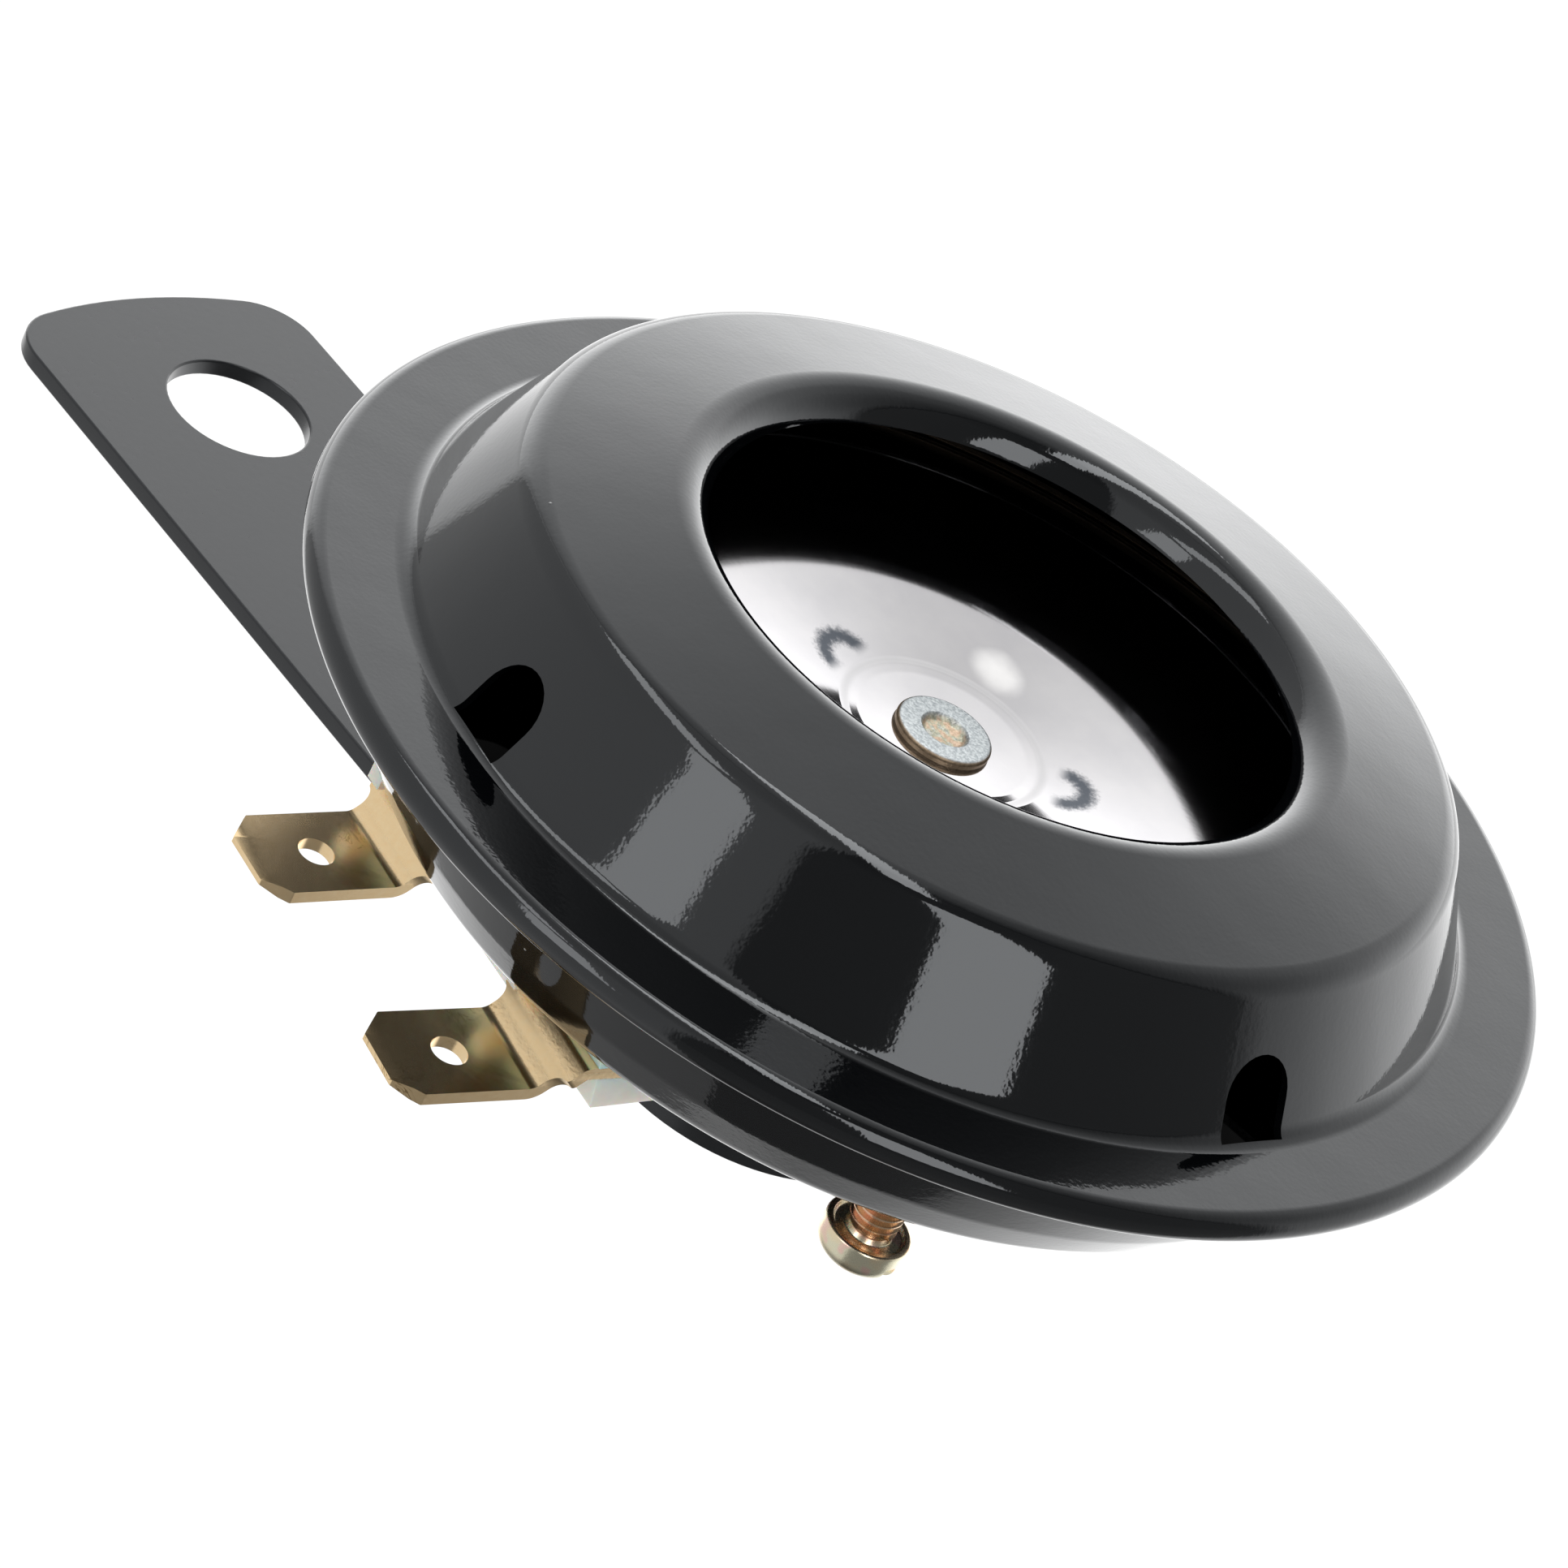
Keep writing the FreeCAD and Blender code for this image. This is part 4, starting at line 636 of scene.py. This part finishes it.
def front_cover():
    """Pressed cover whose flange runs out to the rolled rim, with four drain slots."""
    outside = [
        point for point in rounded(COVER_OUTSIDE) if point.x > LIP_WITHIN or point.y > LIP_END
    ]
    pressed = spun(sheet(outside, COVER_GAUGE), HORN, COVER_STEPS)
    piece = piece_of(pressed, "dressed_cover", "painted_case", nodes=["front_cover"])
    slots = bmesh.new()
    for azimuth in DRAIN_AZIMUTHS:
        out, side = direction(azimuth, 0), direction(azimuth + 90, 0)
        start = HORN + out * DRAIN_FROM * MM
        ring = [
            slots.verts.new(start + side * across * MM + Vector((0, 0, rise * MM)))
            for across, rise in obround(DRAIN_WIDTH, DRAIN_LOW, DRAIN_HIGH)
        ]
        drawn_out(slots, [slots.faces.new(ring)], out * DRAIN_REACH * MM)
    bmesh.ops.recalc_face_normals(slots, faces=slots.faces)
    carve(piece, slots)


def rear_case():
    """Drawn case: wall, shelf and coil cup, and the screw's collar."""
    mesh = spun(sheet(rounded(CASE_OUTSIDE), CASE_GAUGE), HORN, CASE_STEPS)
    collar = spun(rounded(COLLAR), SCREW, COLLAR_STEPS)
    data = bpy.data.meshes.new("collar")
    collar.to_mesh(data)
    collar.free()
    mesh.from_mesh(data)
    bpy.data.meshes.remove(data)
    piece_of(mesh, "dressed_case", "painted_case", nodes=["rear_case"])


def bent(points, x, depth):
    """Where a point of a flat plate lies once the plate follows a bent line."""
    for place in range(len(points) - 1):
        first, second = points[place], points[place + 1]
        if x <= second.x or place == len(points) - 2:
            break
    ways = ways_along(points)
    part = (x - first.x) / (second.x - first.x)
    way = ways[place].lerp(ways[place + 1], part).normalized()
    here = first.lerp(second, part)
    return here + Vector((-way.y, way.x)) * depth


def circle(x, radius):
    """Points of a round hole on the blank's middle line."""
    turns = [2 * math.pi * step / HOLE_CORNERS for step in range(HOLE_CORNERS)]
    return [Vector((x + radius * math.cos(turn), radius * math.sin(turn))) for turn in turns]


def blank():
    """A terminal before it is bent: shoulders, cut corners, latching hole and rivet hole."""
    half = [
        (BLANK_ROOT, ROOT_HALF, 0.3), (SHOULDER_FROM, ROOT_HALF, 0.2),
        (SHOULDER_TO, BLADE_HALF, 0.72), (BLANK_TIP - CUT_CORNER, BLADE_HALF, 0.15),
        (BLANK_TIP, BLADE_HALF - CUT_CORNER, 0.15),
    ]
    outline = rounded([(x, -y, radius) for x, y, radius in half] + half[::-1])
    mesh = bmesh.new()
    for loop in (outline, circle(BLANK_TIP - LATCH_FROM_TIP, LATCH_RADIUS), circle(0, RIVET_HOLE)):
        closed_loop(mesh, [(x, y, 0) for x, y in loop])
    bmesh.ops.triangle_fill(mesh, use_beauty=True, use_dissolve=False, edges=mesh.edges[:])
    drawn_out(mesh, mesh.faces[:], (0, 0, -TERMINAL_GAUGE))
    bmesh.ops.recalc_face_normals(mesh, faces=mesh.faces)
    round_edges(mesh, BLADE_SHARP_FROM, BLADE_EDGE)
    return mesh


def terminal(word, side, yaw):
    """Stamped blade with two bends and a coined tip."""
    mesh = blank()
    back = TERMINAL_FRONT - TERMINAL_DROP
    line = rounded([
        (-3.0, TERMINAL_FRONT, 0), (RISER_FROM, TERMINAL_FRONT, BEND_RADIUS),
        (RISER_TO, back, BEND_RADIUS), (BLANK_TIP + 0.1, back, 0),
    ])
    for x in [point.x for point in line[1:-1]] + [BLANK_TIP - COIN_LENGTH]:
        bmesh.ops.bisect_plane(
            mesh, geom=mesh.verts[:] + mesh.edges[:] + mesh.faces[:],
            plane_co=(x, 0, 0), plane_no=(1, 0, 0))
    rivet = Vector((TERMINAL_DISTANCE, side * TERMINAL_ASIDE)).to_3d()
    block = Matrix.Rotation(math.radians(TERMINAL_AZIMUTH), 4, "Z") @ Matrix.Translation(rivet)
    place = Matrix.Translation(HORN) @ Matrix.Scale(MM, 4) @ block
    place = place @ Matrix.Rotation(math.radians(yaw), 4, "Z")
    centre = TERMINAL_GAUGE / 2
    for vertex in mesh.verts:
        coined = max(0, vertex.co.x - BLANK_TIP + COIN_LENGTH) / COIN_LENGTH
        depth = -centre + (vertex.co.z + centre) * (1 - COIN_SHARE * coined)
        where = bent(line, vertex.co.x, depth)
        vertex.co = place @ Vector((where.x, vertex.co.y, where.y))
    name = "terminal_" + word
    angle = TERMINAL_SMOOTH_TO
    piece_of(mesh, "dressed_" + name, "terminal_brass", nodes=[name], angle=angle)


def centre_rivet():
    """Rivet with a flat formed head and a dimple, which goes through the diaphragm."""
    mesh = spun(rounded(CENTRE_RIVET), HORN, RIVET_STEPS)
    piece_of(mesh, "dressed_centre_rivet", "rivet_steel", "armature_set", ["centre_rivet"])


def thread(low, high):
    """A mesh of the screw's ridge, wound from one height to another."""
    mesh = bmesh.new()
    inner = SCREW_CORE - RIDGE_SUNK
    ridge = (
        (inner, -RIDGE_ROOT), (SCREW_THREAD, -RIDGE_CREST), (SCREW_THREAD, RIDGE_CREST),
        (inner, RIDGE_ROOT),
    )
    turns = (high - low) / SCREW_PITCH
    ring = [mesh.verts.new((SCREW.x + x * MM, SCREW.y, SCREW.z + (low + z) * MM)) for x, z in ridge]
    start = mesh.faces.new(ring)
    bmesh.ops.spin(
        mesh, geom=[start] + list(start.edges) + ring, cent=SCREW, axis=(0, 0, 1),
        dvec=(0, 0, SCREW_PITCH * MM / THREAD_STEPS), angle=2 * math.pi * turns,
        steps=round(THREAD_STEPS * turns), use_merge=False, use_duplicate=False)
    bmesh.ops.recalc_face_normals(mesh, faces=mesh.faces)
    return mesh


def adjusting_screw():
    """Slotted pan head with a rolled underside, a plain neck and a thread above it."""
    top, low, core = SCREW_HEAD_TOP, SCREW_HEAD_LOW, SCREW_CORE
    section = rounded([
        (0, low, 0), (SCREW_HEAD_RADIUS, low, 1.1), (SCREW_HEAD_RADIUS, top, 0.2),
        (2.2, top, 0.08), (2.05, top - 0.25, 0.1), (core + 0.2, top - 0.25, 0.15),
        (core, top + 0.1, 0.2), (core, SCREW_TIP, 0), (0, SCREW_TIP, 0),
    ])
    mesh = spun(section, SCREW, SCREW_STEPS)
    name = "adjusting_screw"
    piece = piece_of(mesh, "dressed_" + name, "yellow_zinc", "adjuster", [name])
    cutter = bmesh.new()
    bmesh.ops.create_cube(cutter, size=1)
    size = [length * MM for length in SLOT_CUTTER]
    bmesh.ops.scale(cutter, vec=size, verts=cutter.verts)
    below = SCREW + Vector((0, 0, (low - SLOT_BELOW) * MM))
    bmesh.ops.translate(cutter, vec=below, verts=cutter.verts)
    carve(piece, cutter)
    threaded = thread(top + THREAD_FROM_HEAD, SCREW_TIP - THREAD_FROM_TIP)
    threaded.from_mesh(piece.data)
    threaded.to_mesh(piece.data)
    threaded.free()


def painted_case():
    """Gloss black paint: long waves, orange peel and a few dust specks."""
    paint = Finish("gloss_black_paint")
    black, dust = (0.0016, 0.0019, 0.0024), (0.12, 0.12, 0.12)
    waves = paint.noise(170, detail=1.0)
    peel = paint.noise(900, detail=1.0)
    grain = paint.noise(3300, detail=1.0)
    chance = paint.parts(paint.cells("Color"))[0]
    speck = (1 - paint.smooth(paint.cells("Distance"), 0.008, 0.022)) * (chance > SPECK_FREE)
    fine = paint.bump(peel + grain * 1.2 + speck * 9, 3.2e-6)
    return paint.surface(
        Base_Color=paint.mix(speck * 0.7, black, dust),
        Roughness=0.04 + peel * 0.03 + speck * 0.25,
        IOR=CASE_IOR,
        Specular_Tint=PAINT_TINT,
        Normal=paint.bump(waves, 3.7e-5, Normal=fine),
    )


def painted_bracket():
    """Satin black paint that shows the sheet's grain."""
    paint = Finish("satin_black_paint")
    peel = paint.noise(1500, detail=3.0)
    cloud = paint.noise(90)
    return paint.surface(
        Base_Color=paint.mix(cloud, (0.006, 0.0065, 0.0075), (0.011, 0.0115, 0.013)),
        Roughness=0.22 + peel * 0.1 + cloud * 0.05,
        IOR=BRACKET_IOR,
        Specular_Tint=PAINT_TINT,
        Normal=paint.bump(peel, 5e-6),
    )


def reflection_arch_at(finish, x, y, azimuth, reach, ragged):
    """1 on a ragged arch of painted dark reflection, open to the horn's axis, at an azimuth and
    reach.
    """
    turn = math.radians(azimuth)
    across = y * math.cos(turn) - x * math.sin(turn)
    along = x * math.cos(turn) + y * math.sin(turn) - reach
    far = finish.maths("SQRT", across * across + along * along)
    aside = finish.maths("ABSOLUTE", far - REFLECTION_ARCH_RADIUS)
    stroke = 1 - finish.smooth(aside + ragged * 0.9, 0.6, 1.4)
    return stroke * finish.smooth(along, -0.5, 0.5)


def spring_steel():
    """Bright rolled sheet: fine brushing, faint stains, painted dark arches and a painted
    highlight.
    """
    steel = Finish("bright_spring_steel")
    radius, _, x, y = steel.from_axis()
    grain = steel.noise(1.0, 3.0, 0.7, place=steel.stretched(60, 2600, 60))
    stain = steel.noise(260, 3.0, 0.6)
    ragged = steel.noise(3200, 3.0, 0.7)
    first, second = (reflection_arch_at(steel, x, y, azimuth, reach, ragged) for azimuth, reach in REFLECTION_ARCHES)
    painted_reflections = first + second
    # painted highlight: a bright oval patch of colour stands in for a reflection
    highlight_x, highlight_y = x - HIGHLIGHT_X, y - HIGHLIGHT_Y
    oval = highlight_x * highlight_x * 0.6 + highlight_y * highlight_y * 0.8
    painted_highlight = 1 - steel.smooth(oval + stain * 3, 0.9, 4.4)
    # painted shade: a darker ring at the edge of the raised boss
    ring = steel.near(radius, SHADE_RING_RADIUS, SHADE_RING_REACH)
    colour = steel.mix(stain, (0.46, 0.455, 0.47), (0.56, 0.55, 0.555))
    colour = steel.mix(painted_highlight * 0.95, colour, (0.95, 0.94, 0.93))
    colour = steel.mix(ring * 0.35, colour, (0.30, 0.30, 0.30))
    # painted reflection: two dark arches stand in for what the dished disc mirrors
    colour = steel.mix(painted_reflections * 0.93, colour, (0.035, 0.045, 0.06))
    shade = steel.smooth(radius, SHADE_FROM, SHADE_TO)
    return steel.surface(
        Base_Color=steel.mix(shade, colour, (0.004, 0.004, 0.004)),
        Metallic=1.0,
        Roughness=0.03 + stain * 0.04 + grain * 0.02 + painted_reflections * 0.1,
        Normal=steel.bump(grain, 4e-7),
    )


def rivet_steel():
    """Formed head: grainy plated ring, brown side and an iridescent dimple."""
    steel = Finish("formed_rivet")
    radius = steel.from_axis()[0]
    grain = steel.noise(5200, 2.0, 0.7)
    film = steel.noise(1500, 2.0, 0.6)
    ring = steel.mix(steel.smooth(grain, 0.3, 0.7), (0.42, 0.46, 0.48), (0.78, 0.82, 0.83))
    glint = steel.mix(steel.smooth(film, 0.42, 0.6), (0.55, 0.60, 0.36), (0.85, 0.56, 0.34))
    dimple = steel.mix(steel.smooth(grain, 0.35, 0.65), (0.30, 0.30, 0.29), (0.82, 0.80, 0.76))
    dimple = steel.mix(steel.smooth(film, 0.3, 0.55) * 0.6, dimple, glint)
    side = steel.mix(grain, (0.28, 0.19, 0.11), (0.60, 0.46, 0.32))
    inner = steel.smooth(radius + film * 0.4, DIMPLE_FROM, DIMPLE_TO)
    outer = steel.smooth(radius, PLATED_FROM, PLATED_TO)
    return steel.surface(
        Base_Color=steel.mix(outer, steel.mix(inner, dimple, ring), side),
        Metallic=0.9,
        Roughness=0.32 + grain * 0.25,
        Normal=steel.bump(grain, 2.2e-5),
    )


def soft_iron():
    """Turned iron with fine tool rings and a film of oil."""
    iron = Finish("turned_iron")
    rings = iron.maths("SINE", iron.from_axis()[0] * TOOL_RINGS)
    cloud = iron.noise(300, detail=3.0)
    return iron.surface(
        Base_Color=iron.mix(cloud, (0.22, 0.22, 0.23), (0.42, 0.41, 0.40)),
        Metallic=1.0,
        Roughness=0.25 + cloud * 0.2,
        Normal=iron.bump(rings, 2e-6),
    )


def plated_metal(name, first, second, rough):
    """Plated or rolled metal whose colour drifts between two tones."""
    metal = Finish(name)
    drift = metal.noise(500, 3.0, 0.6)
    grain = metal.noise(4500)
    return metal.surface(
        Base_Color=metal.mix(metal.smooth(drift, 0.3, 0.7), first, second),
        Metallic=1.0,
        Roughness=rough + drift * 0.12,
        Normal=metal.bump(grain, 2e-6),
    )


def terminal_brass():
    """Stamped brass: fine pits, stains like scribbles and crinkled bends."""
    brass = Finish("stamped_brass")
    height = brass.from_axis()[1]
    grain = brass.noise(2400, 3.0, 0.7)
    stain = brass.noise(420, 4.0, 0.6, Distortion=2.5)
    line = 1 - brass.smooth(brass.maths("ABSOLUTE", stain - 0.52), 0.003, 0.012)
    patch = brass.smooth(brass.noise(190), 0.52, 0.6)
    crinkle = brass.noise(3300, 2.0, 0.7)
    bends = brass.near(height, BEND_FRONT - 0.3, 0.4) + brass.near(height, BEND_BACK, 0.38)
    clean = brass.mix(grain, (0.96, 0.68, 0.36), (1.0, 0.80, 0.50))
    return brass.surface(
        Base_Color=brass.mix(line * patch * 0.75, clean, (0.34, 0.20, 0.07)),
        Metallic=1.0,
        Roughness=0.2 + grain * 0.08 + bends * 0.08,
        Normal=brass.bump(grain * 0.12 + crinkle * (bends * 2.0 + 0.08), 1.1e-5),
    )


def yellow_zinc():
    """Yellow chromate: gold that drifts to green and pink, darker in the recesses."""
    zinc = Finish("yellow_chromate")
    height = zinc.from_axis()[1]
    drift = zinc.noise(620, 2.0, 0.6)
    other = zinc.noise(900, detail=1.0)
    grain = zinc.noise(5200)
    colour = zinc.mix(zinc.smooth(drift, 0.35, 0.6), (0.92, 0.78, 0.54), (0.84, 0.80, 0.60))
    colour = zinc.mix(zinc.smooth(other, 0.52, 0.68), colour, (0.93, 0.66, 0.56))
    recess = zinc.smooth(height, SCREW_HEAD_TOP - 0.15, SCREW_HEAD_TOP + 0.1)
    return zinc.surface(
        Base_Color=zinc.mix(recess * 0.55, colour, (0.80, 0.42, 0.22)),
        Metallic=1.0,
        Roughness=0.20 + grain * 0.14,
        Normal=zinc.bump(grain + drift * 2, 7e-6),
    )


def moulded(name, first, second, rough, soft=0.0):
    """Moulded plastic or board with a faint cloud in its colour and a fine surface."""
    plastic = Finish(name)
    cloud = plastic.noise(350, 4.0, 0.6)
    grain = plastic.noise(4200)
    inputs = {"Subsurface_Weight": soft, "Subsurface_Scale": 3 * MM} if soft else {}
    return plastic.surface(
        Base_Color=plastic.mix(plastic.smooth(cloud, 0.3, 0.7), first, second),
        Roughness=rough + grain * 0.12,
        Normal=plastic.bump(grain + cloud, 6e-6),
        **inputs,
    )


def copper_wire():
    """Enamelled wire: the turns show as fine ridges."""
    wire = Finish("enamelled_copper")
    turns = wire.maths("SINE", wire.from_axis()[1] * WIRE_TURNS)
    drift = wire.noise(500)
    return wire.surface(
        Base_Color=wire.mix(drift, (0.55, 0.20, 0.08), (0.78, 0.36, 0.16)),
        Metallic=0.9,
        Roughness=0.22 + drift * 0.1,
        Coat_Weight=0.6,
        Normal=wire.bump(turns, 2e-5),
    )


# Slots of plain metal and of moulded stuff: slot, finish, two tones, roughness, softness inside
PLATED = (
    ("zinc_steel", "bright_zinc", (0.62, 0.65, 0.70), (0.80, 0.80, 0.78), 0.24),
    ("spring_steel_dark", "dark_phosphate", (0.05, 0.05, 0.055), (0.10, 0.10, 0.10), 0.4),
    ("rivet_brass", "rivet_brass", (0.78, 0.58, 0.28), (0.86, 0.68, 0.38), 0.25),
    ("contact_steel", "contact_steel", (0.50, 0.50, 0.51), (0.64, 0.63, 0.61), 0.22),
    ("contact_metal", "contact_metal", (0.40, 0.40, 0.42), (0.52, 0.52, 0.54), 0.3),
)
MOULDED = (
    ("gasket_paper", "gasket_paper", (0.10, 0.075, 0.05), (0.16, 0.12, 0.08), 0.75),
    ("bobbin_plastic", "natural_nylon", (0.80, 0.77, 0.68), (0.88, 0.86, 0.79), 0.4, 0.3),
    ("block_nylon", "block_nylon", (0.78, 0.82, 0.76), (0.85, 0.88, 0.82), 0.42, 0.7),
    ("insulating_board", "phenolic_board", (0.20, 0.09, 0.04), (0.32, 0.16, 0.07), 0.35),
)
SPECIAL = (
    painted_case, painted_bracket, spring_steel, rivet_steel, soft_iron, copper_wire,
    terminal_brass, yellow_zinc,
)


def finishes():
    """The finish of each material slot of the part."""
    finish_of = {make.__name__: make() for make in SPECIAL}
    for make, rows in ((plated_metal, PLATED), (moulded, MOULDED)):
        for slot, *values in rows:
            finish_of[slot] = make(*values)
    return finish_of


def dress_nodes(finish_of):
    """Gives each carried-over node the finish of its slot."""
    for part in frame["record"]["subparts"]:
        data = NODES[part["node"]].data
        data.materials.clear()
        data.materials.append(finish_of[part["material_slot"]])


bpy.context.scene.view_settings.view_transform = "Standard"
camera()
for lamp_values in UPRIGHT_LAMPS:
    upright_lamp(*lamp_values)
for lamp_values in LEANING_LAMPS:
    leaning_lamp(*lamp_values)
studio_world()
floor()
FINISH = finishes()
dress_nodes(FINISH)
front_cover()
rear_case()
diaphragm()
for terminal_values in TERMINALS:
    terminal(*terminal_values)
centre_rivet()
adjusting_screw()
for edged_values in EDGED:
    edged(*edged_values)
